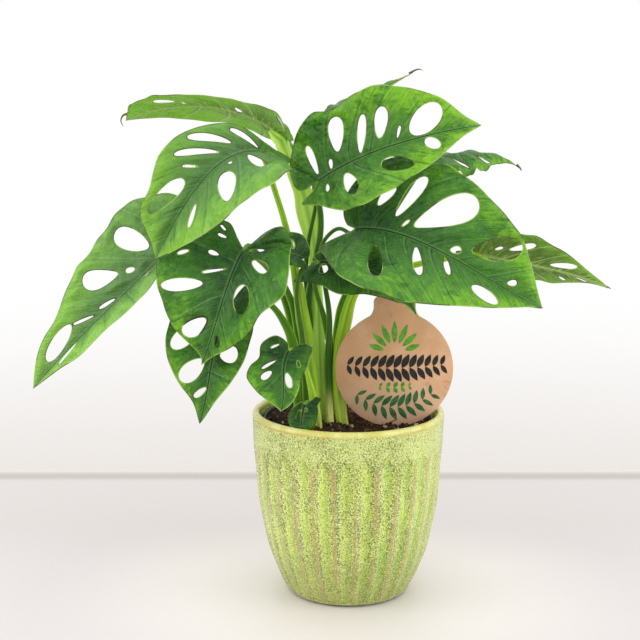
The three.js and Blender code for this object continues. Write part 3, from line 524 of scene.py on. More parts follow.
        route=[(-30, -17, 112), (-31, -17, 150), (-33, -20, 190), (-37, -28, 222), (-35, -32, 240)],
        radius=(2, 1.5)),
    "soil_baby": dict(
        face=(-0.1, -0.8, 0.5), tip_face=(-0.1, -0.95, 0.2),
        fold=(10, 10), curl=(6, 6), tone=-0.2, calm=0.2, wave=(0.4, 14),
        midrib=[(-31.3, -36.8, 149), (-33.3, -42.8, 145), (-33.2, -49.2, 141), (-34.2, -50.4, 133)],
        left=[(-5, 3), (-13, 6), (-9, 9), (2, 10), (10, 11), (19, 9), (24, 0)],
        right=[(-1, 3), (3, 6), (8, 9), (14, 10), (20, 7), (24, 0)],
        holes=[(-1, 6, 1.5, 14, 5, 2), (1, 4, 1.5, 7, 2.5, 1.5)],
        route=[(-28, -27, 112), (-28, -28, 132), (-29, -30, 142)],
        radius=(1.6, 1.1)),
}
print(len(LEAVES), "leaves with", sum(len(leaf["holes"]) for leaf in LEAVES.values()), "holes")

# %% [markdown]
# ## Bending a flat leaf
# A sculptor's way would be to pull a plane about by hand. Here the bend is a formula, so that it is the
# same for the plain leaf and the fine one. The midrib is a Bezier curve in space. At each of its points
# the leaf's two halves leave at the fold angle and curl further as they go out.

# %% Bent blade
BEHIND = -0.4       # where the midrib's curve is taken from: it is 0 at the stalk and 1 at the tip
CURL_SPAN = 50.0    # a half bends by its curl angle over this many mm
CREASE = 1.4        # how wide the fold along the midrib is rounded, in mm


def bezier(control, t):
    """The cubic Bezier curve: control points weighted (1-t)^3, 3t(1-t)^2, 3t^2(1-t), t^3."""
    t = np.asarray(t)[..., None]
    s = 1 - t
    return control[0] * s**3 + control[1] * 3 * t * s**2 + control[2] * 3 * t**2 * s + control[3] * t**3


def bent_blade(leaf):
    """Returns place(along, out, height). The curve is measured by its arc length, from behind the stalk
    to the tip. Out from it, a half that starts at angle f and turns by k for each mm reaches
    (sin(f + k s) - sin f) / k sideways and (cos f - cos(f + k s)) / k up, at s mm. To round the crease,
    the rise takes sqrt(s^2 + c^2) - c for s. Two sine waves ripple the edge, as (s / width)^2."""
    control = np.array(leaf["midrib"], float)
    times = np.linspace(BEHIND, 1, 141)
    arcs = arc_lengths(bezier(control, times))
    arcs -= np.interp(0, times, arcs)
    faces = unit(np.array([leaf["face"], leaf["tip_face"]], float))
    fold, curl = np.radians(leaf["fold"]), np.radians(leaf["curl"]) / CURL_SPAN
    ripple, length = leaf["wave"]
    width = max(out for _, out in leaf["left"] + leaf["right"])

    def surface(along, out):
        t = np.interp(along, arcs, times)
        tangent = unit(bezier(control, t + 1e-3) - bezier(control, t - 1e-3))
        share = np.clip(t, 0, 1)[:, None]
        facing = unit(faces[0] * (1 - share) + faces[1] * share)
        sideways = unit(np.cross(facing, tangent))
        upward = np.cross(tangent, sideways)
        half = np.where(out > 0, 0, 1)
        f, k = fold[half], np.where(curl[half] == 0, 1e-5, curl[half])
        s = np.sqrt(out**2 + CREASE**2) - CREASE
        across = np.sign(out) * (np.sin(f + k * np.abs(out)) - np.sin(f)) / k
        rise = (np.cos(f) - np.cos(f + k * s)) / k
        phase = TURN * along / length + 1.7 * half
        rise = rise + ripple * (np.abs(out) / width) ** 2 * (np.sin(phase) + 0.4 * np.sin(2.3 * phase + 1))
        return bezier(control, t) + sideways * across[:, None] + upward * rise[:, None]

    def place(along, out, height):
        middle = surface(along, out)
        normal = unit(np.cross(surface(along + 0.5, out) - middle, surface(along, out + 0.5) - middle))
        return middle + normal * np.asarray(height)[:, None]

    return place


print("blade lengths in mm:", {name: leaf["left"][-1][0] for name, leaf in LEAVES.items()})

# %% [markdown]
# ## Cutting the leaf out
# The flat leaf is a field of numbers on a fine grid: at each point, how deep it lies inside the blade,
# and below zero outside it or in a hole. Keeping the part above zero cuts outline and holes in one go,
# which is called marching squares. Cutting with booleans would leave long thin faces that shade badly.

# %% Depth inside the blade
TAPER = 0.25        # how much wider than its middle a hole is at its outer end, where no other is given


def outline_depth(along, out, polygon):
    """Distance to the nearest edge of the closed polygon, positive inside it: a point is inside where
    a ray along the leaf crosses an odd number of edges."""
    start, end = polygon, np.roll(polygon, -1, axis=0)
    edge = end - start
    px, py = along[:, None] - start[:, 0], out[:, None] - start[:, 1]
    t = np.clip((px * edge[:, 0] + py * edge[:, 1]) / (edge**2).sum(1), 0, 1)
    distance = np.sqrt(((px - t * edge[:, 0]) ** 2 + (py - t * edge[:, 1]) ** 2).min(1))
    rising = (start[:, 1] <= out[:, None]) != (end[:, 1] <= out[:, None])
    slant = np.where(edge[:, 1] == 0, 1e-9, edge[:, 1])
    crossings = (rising & (px < py * edge[:, 0] / slant)).sum(1)
    return np.where(crossings % 2 == 1, distance, -distance)


def hole_depth(along, out, hole):
    """Distance outside an egg: u runs from -1 to 1 along it, and v is 1 at its half width, which is
    1 + taper u times the mean, so r = sqrt(u^2 + v^2) is 1 on its edge. (r - 1) over r's slope is mm."""
    side, a0, b0, a1, b1, width, taper = (*hole, TAPER)[:7]
    middle = np.array([a0 + a1, side * (b0 + b1)]) / 2
    axis = np.array([a1 - a0, side * (b1 - b0)]) / 2
    half = np.linalg.norm(axis)
    axis = axis / half
    x, y = along - middle[0], out - middle[1]
    u = (x * axis[0] + y * axis[1]) / half
    wide = width / 2 * (1 + taper * np.clip(u, -1.5, 1.5))
    v = (y * axis[0] - x * axis[1]) / wide
    r = np.sqrt(u**2 + v**2) + 1e-6
    return (r - 1) * r / np.sqrt((u / half) ** 2 + (v / wide) ** 2 + 1e-9)


def blade_outline(leaf):
    """Both edges as one closed polygon, from the notch down the right side and back up the left."""
    sides = [spline([(0, 0.3)] + leaf[side]) * (1, sign) for side, sign in (("right", -1), ("left", 1))]
    return np.concatenate([sides[0], sides[1][::-1][1:]])

# %% Marching squares
def keep_inside(along, out, depth):
    """Cuts a grid of squares where depth passes zero. Going round a square, each corner that is inside
    is kept, and each side whose ends differ gives a point at depth zero between them. Returns the
    points, their depths, the polygons, and the pairs of points that make the open border."""
    rows, columns = depth.shape
    index = np.arange(depth.size).reshape(rows, columns)
    flat = np.stack(np.meshgrid(along, out, indexing="ij"), -1)
    cuts = np.zeros((rows, columns, 2, 2))
    for axis in (0, 1):
        near = tuple(slice(0, -1) if axis == k else slice(None) for k in (0, 1))
        far = tuple(slice(1, None) if axis == k else slice(None) for k in (0, 1))
        change = depth[near] - depth[far]
        share = np.clip(depth[near] / np.where(change == 0, 1, change), 0.03, 0.97)[..., None]
        cuts[(*near, axis)] = flat[near] * (1 - share) + flat[far] * share
    points = np.concatenate([flat.reshape(-1, 2), cuts.reshape(-1, 2)])
    depths = np.concatenate([depth.ravel(), np.zeros(2 * depth.size)])
    a, b = index[:-1, :-1].ravel(), index[1:, :-1].ravel()
    c, d = index[1:, 1:].ravel(), index[:-1, 1:].ravel()
    corners = [a, b, c, d]
    sides = [depth.size + 2 * a, depth.size + 2 * b + 1, depth.size + 2 * d, depth.size + 2 * a + 1]
    inside = [depth.ravel()[corner] > 0 for corner in corners]
    code = sum(flag.astype(int) << k for k, flag in enumerate(inside))
    polygons, border = [], []
    for case in range(1, 16):
        chosen = np.flatnonzero(code == case)
        kept = [(case >> k) & 1 for k in range(4)]
        ring = []
        for k in range(4):
            ring += [corners[k][chosen]] if kept[k] else []
            ring += [sides[k][chosen]] if kept[k] != kept[(k + 1) % 4] else []
            if kept[k] and not kept[(k + 1) % 4]:
                entry = next(m % 4 for m in range(k + 1, k + 4) if kept[(m + 1) % 4])
                border.append(np.stack([sides[k][chosen], sides[entry][chosen]], -1))
        polygons.append(np.stack(ring, -1))
    used = np.unique(np.concatenate([p.ravel() for p in polygons]))
    new = np.zeros(len(points), int)
    new[used] = np.arange(len(used))
    return points[used], depths[used], [new[p] for p in polygons], new[np.concatenate(border)]

# %% [markdown]
# ## Veins and swell
# From the midrib, side veins run out to the edge, one in each bridge between two holes, and the blade
# swells a little between them like a quilt. So the veins are worked out from the holes: each hole lies
# on a lane, and a vein runs half way between neighbouring lanes.

# %% Vein lanes
SLIT = 3.5          # a hole no wider than this has no lane of its own, in mm
LANE_GAP = 5.0      # lanes start at least this far apart on the midrib, in mm
VEIN_GAP = 19.0     # veins start about this far apart, in mm


def vein_lines(leaf, side):
    """Where each side vein leaves the midrib, and how many mm it gains along the leaf for each mm out."""
    length = leaf["left"][-1][0]
    lanes = [(-0.02 * length, -0.9)]
    for hole_side, a0, b0, a1, b1, width, *_ in sorted(leaf["holes"], key=lambda hole: hole[1]):
        slope = np.clip((a1 - a0) / max(b1 - b0, 1), -0.5, 1.3)
        root = a0 - slope * b0
        if hole_side == side and width > SLIT and root - lanes[-1][0] > LANE_GAP:
            lanes.append((root, max(slope, lanes[-1][1])))
    lanes.append((0.92 * length, 1.5))
    lines = [(0.01 * length, -0.55)]
    for (root, slope), (next_root, next_slope) in zip(lanes, lanes[1:]):
        count = max(1, round((next_root - root) / VEIN_GAP))
        for share in (np.arange(count) + 0.5) / count:
            lines.append((root + share * (next_root - root), slope + share * (next_slope - slope)))
    return np.array(sorted(lines))


def lane_number(leaf, along, out):
    """A number that is whole on each side vein and grows evenly from one vein to the next. A vein of
    root r and slope m lies at a = r + (m - 0.12) b + 0.008 b^2 + 0.9 sin(b/7 + r), so it bends to the
    tip. Before the first vein and past the last the number grows by 1 in 14 mm, but by half at most."""
    number = np.zeros_like(along)
    for side in (1, -1):
        chosen = out * side > 0 if side == 1 else out <= 0
        lines = vein_lines(leaf, side)
        a, b = along[chosen, None], np.abs(out[chosen, None])
        past = a - lines[:, 0] - (lines[:, 1] - 0.12) * b - 0.008 * b**2
        past = past - 0.9 * np.sin(b / 7 + lines[:, 0]) * smoothstep(b, 0, 8)
        order = np.clip((past > 0).sum(1), 0, len(lines))
        low, high = np.clip(order - 1, 0, None), np.clip(order, None, len(lines) - 1)
        pick = np.arange(len(past))
        before, after = past[pick, low], past[pick, high]
        between = before / np.where(before - after == 0, 1, before - after)
        first, last = np.clip(after / 14, -0.5, 0), len(lines) - 1 + np.clip(before / 14, 0, 0.5)
        ends = np.where(order == 0, first, last)
        number[chosen] = np.where((order > 0) & (order < len(lines)), order - 1 + between, ends)
    return number


VEINS = {name: len(vein_lines(leaf, 1)) + len(vein_lines(leaf, -1)) for name, leaf in LEAVES.items()}
print("side veins:", VEINS)

# %% [markdown]
# ## The leaf as a thin shell
# The blade has two skins, each a copy of the cut grid, and a narrow strip that joins them round the edge
# and every hole. The upper skin has a channel along the midrib and fine furrows over the side veins.
# Below, the same veins stand out as ribs, and the midrib is stout enough to carry the leaf.

# %% Fine leaf
SMALL_LEAF = 50.0   # a leaf shorter than this many mm gets a finer grid and a gentler swell


def pattern_shift(name):
    """A whole-number shift of each leaf's pattern, so that no two leaves are mottled alike."""
    return 7.0 * list(LEAVES).index(name)


def blade_grid(leaf, outline, size):
    """The blade cut from a grid with steps of 1.1 mm, closer across the midrib, all times size."""
    low, high = outline.min(0) - 1.5, outline.max(0) + 1.5
    along = np.arange(low[0], high[0], 1.1 * size)
    steps = np.cumsum(np.clip(0.45 + 0.06 * np.arange(200), 0, 1.1)) * size
    out = np.concatenate([-steps[steps < -low[1]][::-1], [0], steps[steps < high[1]]])
    a, b = (grid.ravel() for grid in np.meshgrid(along, out, indexing="ij"))
    depth = outline_depth(a, b, outline)
    for hole in leaf["holes"]:
        depth = np.minimum(depth, hole_depth(a, b, hole))
    return keep_inside(along, out, depth.reshape(len(along), len(out)))


def fine_leaf(name, leaf, finish):
    """Heights in mm: swell = 1.7 (1 - exp(-(v/0.22)^2)) where v is how far a point is from its nearest
    vein, as a share of the gap between veins. Each gap swells by its own factor, and its outer part
    puckers in waves 9 mm long. Near the midrib and every edge the blade sinks by 0.5 mm instead. It is
    0.8 mm thick, and 0.32 mm at its edges. The midrib's rib below is (1.5 (1 - a/length) + 0.3) mm deep."""
    outline = blade_outline(leaf)
    length = leaf["left"][-1][0]
    size = 0.62 if length < SMALL_LEAF else 1.0
    flat, inside, polygons, border = blade_grid(leaf, outline, size)
    a, b = flat.T
    count = len(a)
    outward = np.abs(b) / (np.abs(b) + np.clip(outline_depth(a, b, outline), 0, None) + 0.01)
    lane = lane_number(leaf, a, b)
    from_vein = np.abs(lane - np.round(lane))
    softened = smoothstep(inside, 0, 7) * smoothstep(np.abs(b), 0, 7)
    lively = 1 - 0.7 * leaf["calm"]
    uneven = 1 + 0.4 * lively * np.sin(2.3 * np.floor(lane) + length)
    swell = 1.7 * leaf.get("swell", 1) * uneven * (1 - np.exp(-(from_vein / 0.22) ** 2))
    swell = swell * softened - 0.5 * (1 - softened)
    pucker = np.sin(TURN * np.abs(b) / 9 + 2.2 * np.sin(TURN * lane) + lane) * np.sin(np.pi * lane) ** 2
    swell = size * (swell + 0.32 * lively * pucker * softened * smoothstep(outward, 0.15, 0.7))
    half = 0.16 + 0.24 * smoothstep(inside, 0, 2.5)
    channel = 0.5 * size * np.exp(-(b / 1.5) ** 2)
    furrow = 0.22 * np.exp(-(from_vein / 0.05) ** 2) * softened
    rib = (1.5 * np.clip(1 - a / length, 0, 1) + 0.3) * size * np.exp(-(b / (1.4 * size)) ** 2)
    rib = rib * smoothstep(a, -6, 0) * smoothstep(inside, 0, 1.5)
    place = bent_blade(leaf)
    skins = [place(a, b, swell + half - furrow - channel), place(a, b, swell - half - 1.3 * furrow - rib)]
    strip = np.stack([border[:, 1], border[:, 0], border[:, 0] + count, border[:, 1] + count], -1)
    blocks = [block for p in polygons for block in (p, p[:, ::-1] + count)] + [strip]
    fields = dict(edge=inside, rib=np.abs(b), lane=lane, tone=leaf["tone"], calm=leaf["calm"],
                  bloom=leaf.get("bloom", 0.0), outward=outward, tip=a / length)
    fields = {field: np.tile(np.broadcast_to(values, count), 2) for field, values in fields.items()}
    uv = np.tile(flat, (2, 1)) / 100 + (pattern_shift(name), 0)
    faces = [face for block in blocks for face in block]
    add_piece(f"fine_leaf_{name}", np.concatenate(skins), faces, finish,
              stands_for=[f"leaf_{name}"], slot="leaf", uv=uv, **fields, under=np.repeat([0.0, 1.0], count))

# %% Leaf finish
def leaf_finish():
    """Dark bluish green along the midrib and yellower towards the margin, with painted light and shade along
    the leaf that darkens its base and lightens its tip. The blade bulges between small veins, in patches of
    cells, with painted shade in the creases round them. Fine veinlets run along the side veins. A dark line
    of painted shade runs down the midrib's channel between paler sides, and each side vein is a pale line
    with painted shade in the furrow beside it. Some leaves carry a pale bluish veil of painted sheen. Round
    edge and holes the rim is brown or pale by stretches. The underside is yellower and duller, darker
    towards the stalk, with a net of pale veinlets."""
    f = Finish("leaf_green", Specular_IOR_Level=0.3)
    lane, edge, rib, tip, under = (f.field(name) for name in ("lane", "edge", "rib", "tip", "under"))
    outward, flat = f.field("outward"), f.flat(1, 1)
    lively = f.band(f.field("calm"), 0.0, 1.0, 1.0, 0.3)
    cloud, mottle, grain = f.noise(flat, 3.6, 3), f.noise(flat, 15.0, 2), f.noise(flat, 95.0, 2)
    lines = f.node("CombineXYZ", {0: f.times(lane, 6.0), 1: f.times(rib, 0.07)})
    streak = f.noise(lines, 1.0, 2)
    veinlet = f.noise(f.node("VectorMath", {0: lines, 1: (3.2, 2.4, 1)}, operation="MULTIPLY"), 1.0, 1)
    stir = f.node("TexNoise", {"Vector": flat, "Scale": 12.0}, 1)
    warped = f.node("VectorMath", {0: stir, 1: (0.07, 0.07, 0), 2: flat}, operation="MULTIPLY_ADD")
    quilt = f.cells(warped, 11.0, feature="SMOOTH_F1")
    crumple = f.cells(warped, 18.0, feature="DISTANCE_TO_EDGE")
    small = f.cells(warped, 48.0, feature="DISTANCE_TO_EDGE")
    patchy = f.times(f.band(cloud, 0.35, 0.6), f.band(outward, 0.1, 0.6, 0.25, 1.0))
    folds = f.plus(f.band(quilt, 0.38, 0.75), f.band(crumple, 0.0, 0.26, 0.3, 0.0))
    # The crease mask darkens the colour as painted shade, and also dents the bump.
    crease = f.times(f.times(folds, patchy), lively)
    beside = f.minus(f.math("FRACT", f.plus(lane, 0.5)), 0.5)
    offset, furrow = f.math("ABSOLUTE", beside), f.math("ABSOLUTE", f.minus(beside, 0.06))
    # Each leaf's tone is partly its own green and partly painted light and shade.
    light = f.plus(f.times(f.field("tone"), 0.7), f.band(outward, 0.05, 0.95, -0.1, 0.42))
    for pattern, amount in ((cloud, 0.45), (mottle, 0.4), (streak, 0.65), (veinlet, 0.5)):
        light = f.plus(light, f.times(f.around(pattern, amount), lively))
    # Painted light and shade along the leaf: darker at its base, lighter at its tip.
    light = f.plus(light, f.band(tip, -0.1, 1.0, -0.24, 0.22))
    # Painted shade in the furrow beside each side vein.
    shaded = f.times(f.band(furrow, 0.02, 0.06, 0.26, 0.0), f.band(cloud, 0.35, 0.6, 0.4, 1.0))
    # Painted shade in the creases round the bulging cells.
    light = f.minus(f.minus(light, shaded), f.times(crease, 0.38))
    broken = f.times(f.band(edge, 0.5, 6.0), f.band(mottle, 0.3, 0.6, 0.35, 1.0))
    from_rib = f.math("DIVIDE", rib, f.band(tip, 0.0, 1.0, 1.25, 0.6))
    green = f.paint(f.mix(f.band(light, -0.2, 0.55), (30, 74, 32), (64, 124, 28)), [
        (f.band(light, 0.4, 1.15), (126, 190, 26)),
        (f.band(small, 0.0, 0.08, 0.1, 0.0), (112, 160, 66)),
        (f.times(f.band(offset, 0.012, 0.035, 0.3, 0.0), broken), (132, 182, 98)),
        (f.band(from_rib, 0.8, 1.9, 0.4, 0.0), (112, 164, 88)),
        # painted shade: a dark line down the midrib's channel
        (f.band(from_rib, 0.32, 0.62, 0.92, 0.0), (16, 50, 24)),
        # a pale bluish veil of painted sheen, on the leaves that have it
        (f.field("bloom"), (178, 204, 158))])
    below = f.paint(f.mix(f.band(light, 0.1, 0.9), (94, 132, 40), (142, 210, 54)), [
        (f.band(offset, 0.015, 0.05, 0.55, 0.0), (186, 222, 130)),
        (f.band(rib, 0.8, 2.0, 0.7, 0.0), (184, 212, 116)),
        (f.band(tip, 0.0, 0.4, 0.35, 0.0), (96, 136, 40)),
        (f.times(f.band(veinlet, 0.52, 0.66, 0.0, 0.5), f.band(rib, 3.0, 16.0, 1.0, 0.15)), (196, 226, 150))])
    margin = f.mix(f.band(f.noise(flat, 3.2, 1), 0.47, 0.53), (78, 52, 36), (172, 204, 100))
    colour = f.paint(green, [(under, below), (f.band(edge, 0.15, 0.8, 0.85, 0.0), margin)])
    gloss = f.band(f.plus(grain, f.times(cloud, 0.8)), 0.6, 1.2, 0.24, 0.42)
    relief = f.minus(f.times(mottle, 1.2), f.times(crease, 1.6))
    fine = f.plus(f.times(streak, 0.8), f.times(veinlet, 0.35))
    skin = f.bump(f.plus(relief, fine), 1.5)
    skin = f.bump(f.band(small, 0.0, 0.12), 0.06, skin)
    skin = f.bump(grain, 0.04, skin)
    return f.done(Base_Color=colour, Roughness=f.plus(gloss, f.times(under, 0.15)), Normal=skin)


leaf_green = leaf_finish()
for name, leaf in LEAVES.items():
    fine_leaf(name, leaf, leaf_green)

# %% [markdown]
# ## Dried tips
# The thin point of an old leaf dries and curls over. It is too thin for the grid that the blade is cut
# from, so it is a separate small tube on a curve, which starts inside the end of the blade.

# %% Tip hooks
# Each hook is a curve of (right, back, up) steps in mm from the end of the leaf's midrib.
HOOK_SIDES = 8
HOOKS = {
    "top_left": [(2.5, -9.4, 4.6), (0.2, -10.3, 3.8), (-1.2, -11, 1.6), (-1.4, -11.4, -1), (0.2, -11.6, -4)],
    "far_right": [(-8.1, -0.3, 3.9), (-4, -0.2, 1.9), (0, 0, 0), (1.5, 0, -1.2)],
    "back_right": [(-2.5, 1.4, 2.8), (0, 0, 0), (0.6, -0.2, -1.8)],
    "back_top": [(-2.6, 0.5, -1.4), (0, 0, 0), (2.5, -0.5, 1.2), (5, -1, 1.6), (7, -1.4, 0.6)],
}


def tip_hook(name, shape, finish):
    """The leaf's point, dried into a thin hook: a tube on a curve, of radius 0.75 (1 - t)^0.7 + 0.12."""
    centre = np.array(LEAVES[name]["midrib"][3], float) + spline(shape, 8)
    tangent = unit(np.gradient(centre, axis=0))
    side = unit(np.cross(tangent, (0.3, 1, 0.2)))
    other = np.cross(tangent, side)
    corner = np.arange(HOOK_SIDES)
    q = (TURN * corner / HOOK_SIDES)[:, None]
    radius = 0.75 * (1 - np.linspace(0, 1, len(centre))) ** 0.7 + 0.12
    ring = side[:, None] * np.cos(q) + other[:, None] * np.sin(q)
    points = (centre[:, None] + radius[:, None, None] * ring).reshape(-1, 3)
    faces = [*grid_faces(len(centre), HOOK_SIDES, wrap=True), corner[::-1], len(points) - HOOK_SIDES + corner]
    add_piece(f"tip_hook_{name}", points, faces, finish, slot="leaf")


def dry_tip():
    """Grey brown, with olive patches a few millimetres long."""
    f = Finish("dry_leaf_tip", Roughness=0.5)
    return f.done(Base_Color=f.mix(f.noise(f.place(), 300.0), (74, 58, 58), (112, 110, 78)))


dry = dry_tip()
for name, shape in HOOKS.items():
    tip_hook(name, shape, dry)

# %% [markdown]
# ## Stalks
# Each leaf has its own stalk, round at the top, with a channel up its front. Lower down it widens into
# thin wings, which once wrapped the next young leaf. A plain tube would look like wire, so the section
# changes along the path: a tube carried along a curve, with its width, thickness and channel as
# functions of height.

# %% Stalk looks
# wings: (height, extra half width) pairs in mm. bright: 0 dark olive, 1 yellow-green, 2 pale, partly
# the stalk's own green and partly painted light and shade: lit stalks are set brighter and shaded ones
# darker, and top_left's 1.9 is painted light on a sheath that leaves shade. cream: how pale the foot is.
STALKS = {
    "top_right": dict(bright=0.1, cream=0.1, wings=[(130, 0.4), (190, 0.4), (220, 0)]),
    "right": dict(bright=0.05, cream=1, wings=[(130, 0.1), (190, 0.1), (225, 0)]),
    "left_front": dict(bright=0.45, cream=0.15, wings=[(130, 0.5), (190, 1.2), (225, 0)]),
    "upper_left": dict(bright=0.85, cream=0.15, wings=[(126, 0.2), (175, 0.6), (205, 1.0), (240, 0)]),
    "far_left": dict(bright=0.45, cream=0.15, wings=[(130, 0.5), (195, 1.5), (230, 0)]),
    "low_left": dict(bright=0.5, cream=0.1, wings=[(130, 0.5), (185, 1.2), (212, 0)]),
    "front_small": dict(bright=0.95, cream=0.3, wings=[(126, 1.6), (150, 0.8), (170, 0)]),
    "far_right": dict(bright=0.95, cream=0.3, wings=[(126, 0.2), (175, 0.5), (205, 1.2), (226, 0)]),
    "top_left": dict(bright=1.9, cream=0.2,
                     wings=[(200, 0), (240, 0.5), (262, 3.2), (285, 4.2), (305, 2.5), (320, 0.6)]),
    "mid_right": dict(bright=0.3, cream=0.6, wings=[(130, 0.4), (185, 0.8), (215, 0)]),
    "back_right": dict(bright=0.35, cream=0.3, wings=[(126, 0.4), (180, 1.4), (205, 1.2), (235, 0)]),
    "back_top": dict(bright=0.05, cream=0.2, wings=[(130, 0.2), (185, 0.1), (200, 0)]),
    "centre_small": dict(bright=0.15, cream=0.1, wings=[(130, 0.2), (180, 0.5), (215, 0)]),
    "soil_baby": dict(bright=0.5, cream=0.1, wings=[(126, 0.3), (140, 0)]),
}
print(len(STALKS), "stalks, widest wing", max(wing for s in STALKS.values() for _, wing in s["wings"]), "mm")

# %% Fine stalk
STALK_STEP, STALK_COLUMNS = 2.0, 24
STALK_FRONT = np.array([0.15, -1, 0.1])     # where the channel looks
KNEE = 15.0                                 # from the end of the stalk to the middle of its knee, in mm
UNDER_MIDRIB = [(-6, 2.5), (-1, 0), (5, 0), (11, -0.5)]     # (far along the midrib, further below it)


def stalk_path(leaf):
    """The route from the soil, then under the first few mm of the midrib, at even steps."""
    control = np.array(leaf["midrib"], float)
    along = unit(control[1] - control[0])
    upward = np.cross(along, unit(np.cross(leaf["face"], along)))
    droop = np.radians(min(0, *leaf["fold"]))
    drop = (leaf["radius"][1] + 0.95) / np.cos(droop)
    under = [control[0] + along * far - upward * (drop + more) for far, more in UNDER_MIDRIB]
    curve = spline(leaf["route"] + under, 24)
    lengths = arc_lengths(curve)
    steps = np.linspace(0, lengths[-1], int(lengths[-1] / STALK_STEP))
    return np.stack([np.interp(steps, lengths, axis) for axis in curve.T], 1), steps


def fine_stalk(name, leaf, look, finish):
    """Point at angle q of a section: side w cos q + front (r sin q + lift cos^2 q - channel), where r is
    the radius, w is r plus the wing, lift folds the wings forward, and the channel is a notch at the
    front. Near the blade the stalk swells by a fifth, as its knee, and then tapers into the midrib."""
    centre, steps = stalk_path(leaf)
    rows, columns = len(centre), STALK_COLUMNS
    tangent = unit(np.gradient(centre, axis=0))
    front = unit(STALK_FRONT - tangent * (tangent @ STALK_FRONT)[:, None])
    side = np.cross(front, tangent)
    left = steps[-1] - steps
    foot, top = leaf["radius"]
    radius = foot + (top - foot) * smoothstep(steps / steps[-1], 0.2, 0.8)
    radius = radius * (1 + 0.2 * np.exp(-((left - KNEE) / 5) ** 2)) * (0.35 + 0.65 * smoothstep(left, 0, 8))
    heights, extra = np.array(look["wings"]).T
    wing = np.interp(centre[:, 2], heights, extra) * (1 + 0.12 * np.sin(centre[:, 2] / 7))
    q = TURN * np.arange(columns) / columns
    ribs = 1 + 0.025 * np.sin(6 * q + 1)
    r, w = radius[:, None] * ribs, (radius + wing)[:, None] * ribs
    channel = 0.22 * radius[:, None] * np.exp(-(((q - np.pi / 2) / 0.38) ** 2))
    outward = r * np.sin(q) + (0.6 * wing)[:, None] * np.cos(q) ** 2 - channel
    sideways = w * np.cos(q)
    points = centre[:, None] + side[:, None] * sideways[..., None] + front[:, None] * outward[..., None]
    ends = np.stack([centre[0], centre[-1] + tangent[-1] * 0.4])
    across = np.append(np.tile(np.cos(q), rows), [0, 0])
    every = lambda values: np.append(np.repeat(values, columns), values[[0, -1]])
    add_piece(f"fine_stalk_{name}", np.concatenate([points.reshape(-1, 3), ends]), tube_faces(rows, columns),
              finish, stands_for=[f"stalk_{name}"], slot="stalk",
              uv=np.stack([across + pattern_shift(name), every(steps / 100)], 1),
              height=every(centre[:, 2]), wing=every(wing / (1 + wing)),
              knee=every(np.exp(-((left - KNEE) / 9) ** 2)), rim=np.abs(across),
              bright=np.full(len(across), look["bright"]), cream=np.full(len(across), look["cream"]))

# %% Stalk finish
def stalk_finish():
    """Yellow-green, greener upward, with fine streaks along the stalk, a darker line up the channel,
    painted highlights down the sides, wing edges paler partly in their own colour and partly as painted
    highlight, a pale knee, small pale flecks, and brown scars low down. Some stalks are creamy where they
    leave the soil. How bright each stalk is, is partly its own green and partly painted light and shade."""
    f = Finish("stalk_green", Roughness=0.4, Specular_IOR_Level=0.28)
    height, wing, knee, rim, bright = (f.field(name) for name in ("height", "wing", "knee", "rim", "bright"))
    streaks, fine = f.noise(f.flat(3.2, 0.7), 5.0, 3), f.noise(f.flat(9, 2), 6.0, 2)
    # Each stalk's bright is partly its own green and partly painted light and shade.
    light = f.plus(f.times(bright, 0.8), f.around(streaks, 1.2))
    low = f.plus(height, f.times(streaks, 26.0))
    scarred = f.band(f.noise(f.flat(2, 5), 5.0, 3), 0.56, 0.64)
    colour = f.paint(f.mix(f.band(light, -0.1, 0.5), (34, 80, 12), (98, 158, 14)), [
        (f.band(light, 0.4, 0.9), (196, 240, 62)),
        # painted light on the brightest stalks, the top_left sheath most of all
        (f.band(light, 0.95, 1.3), (210, 255, 112)),
        (f.times(f.band(height, 232, 290), f.band(bright, 0.3, 0.8, 0.45, 0.0)), (84, 146, 46)),
        # wing edges paler, partly their own colour and partly painted highlight
        (f.band(f.times(wing, rim), 0.35, 0.6, 0.0, 0.8), (198, 232, 98)),
        (f.band(rim, 0.05, 0.35, 0.35, 0.0), (48, 92, 14)),
        # painted highlights down both sides
        (f.band(rim, 0.75, 0.98, 0.0, 0.4), (196, 236, 88)),
        (f.band(fine, 0.55, 0.75, 0.0, 0.14), (200, 222, 120)),
        (f.band(knee, 0.4, 0.9, 0.0, 0.25), (160, 200, 84)),
        (f.times(f.band(low, 146, 172, 0.9, 0.0), f.field("cream")), (246, 240, 150)),
        (f.times(scarred, f.band(height, 130, 142, 0.8, 0.0)), (120, 82, 40)),
        (f.band(f.cells(f.flat(2, 5), 7.0), 0.05, 0.12, 0.18, 0.0), (204, 224, 130))])
    return f.done(Base_Color=colour, Normal=f.bump(f.plus(streaks, f.times(fine, 0.4)), 0.12))


stalk_green = stalk_finish()
for name, leaf in LEAVES.items():
    fine_stalk(name, leaf, STALKS[name], stalk_green)

# %% [markdown]
# ## The glazed pot
# The pot was thrown or cast round, and its flutes were pressed in while the clay was soft. It could be a
# profile spun round an axis with a boolean for each flute. It is simpler as one surface: a profile gives
# a radius for each height, and a function of the angle presses the flutes into it.

# %% Fluted surface
FLUTES, FLUTE_DEPTH, FLUTE_TURN = 28, 1.3, np.radians(3.2)
POT_COLUMNS = FLUTES * 16


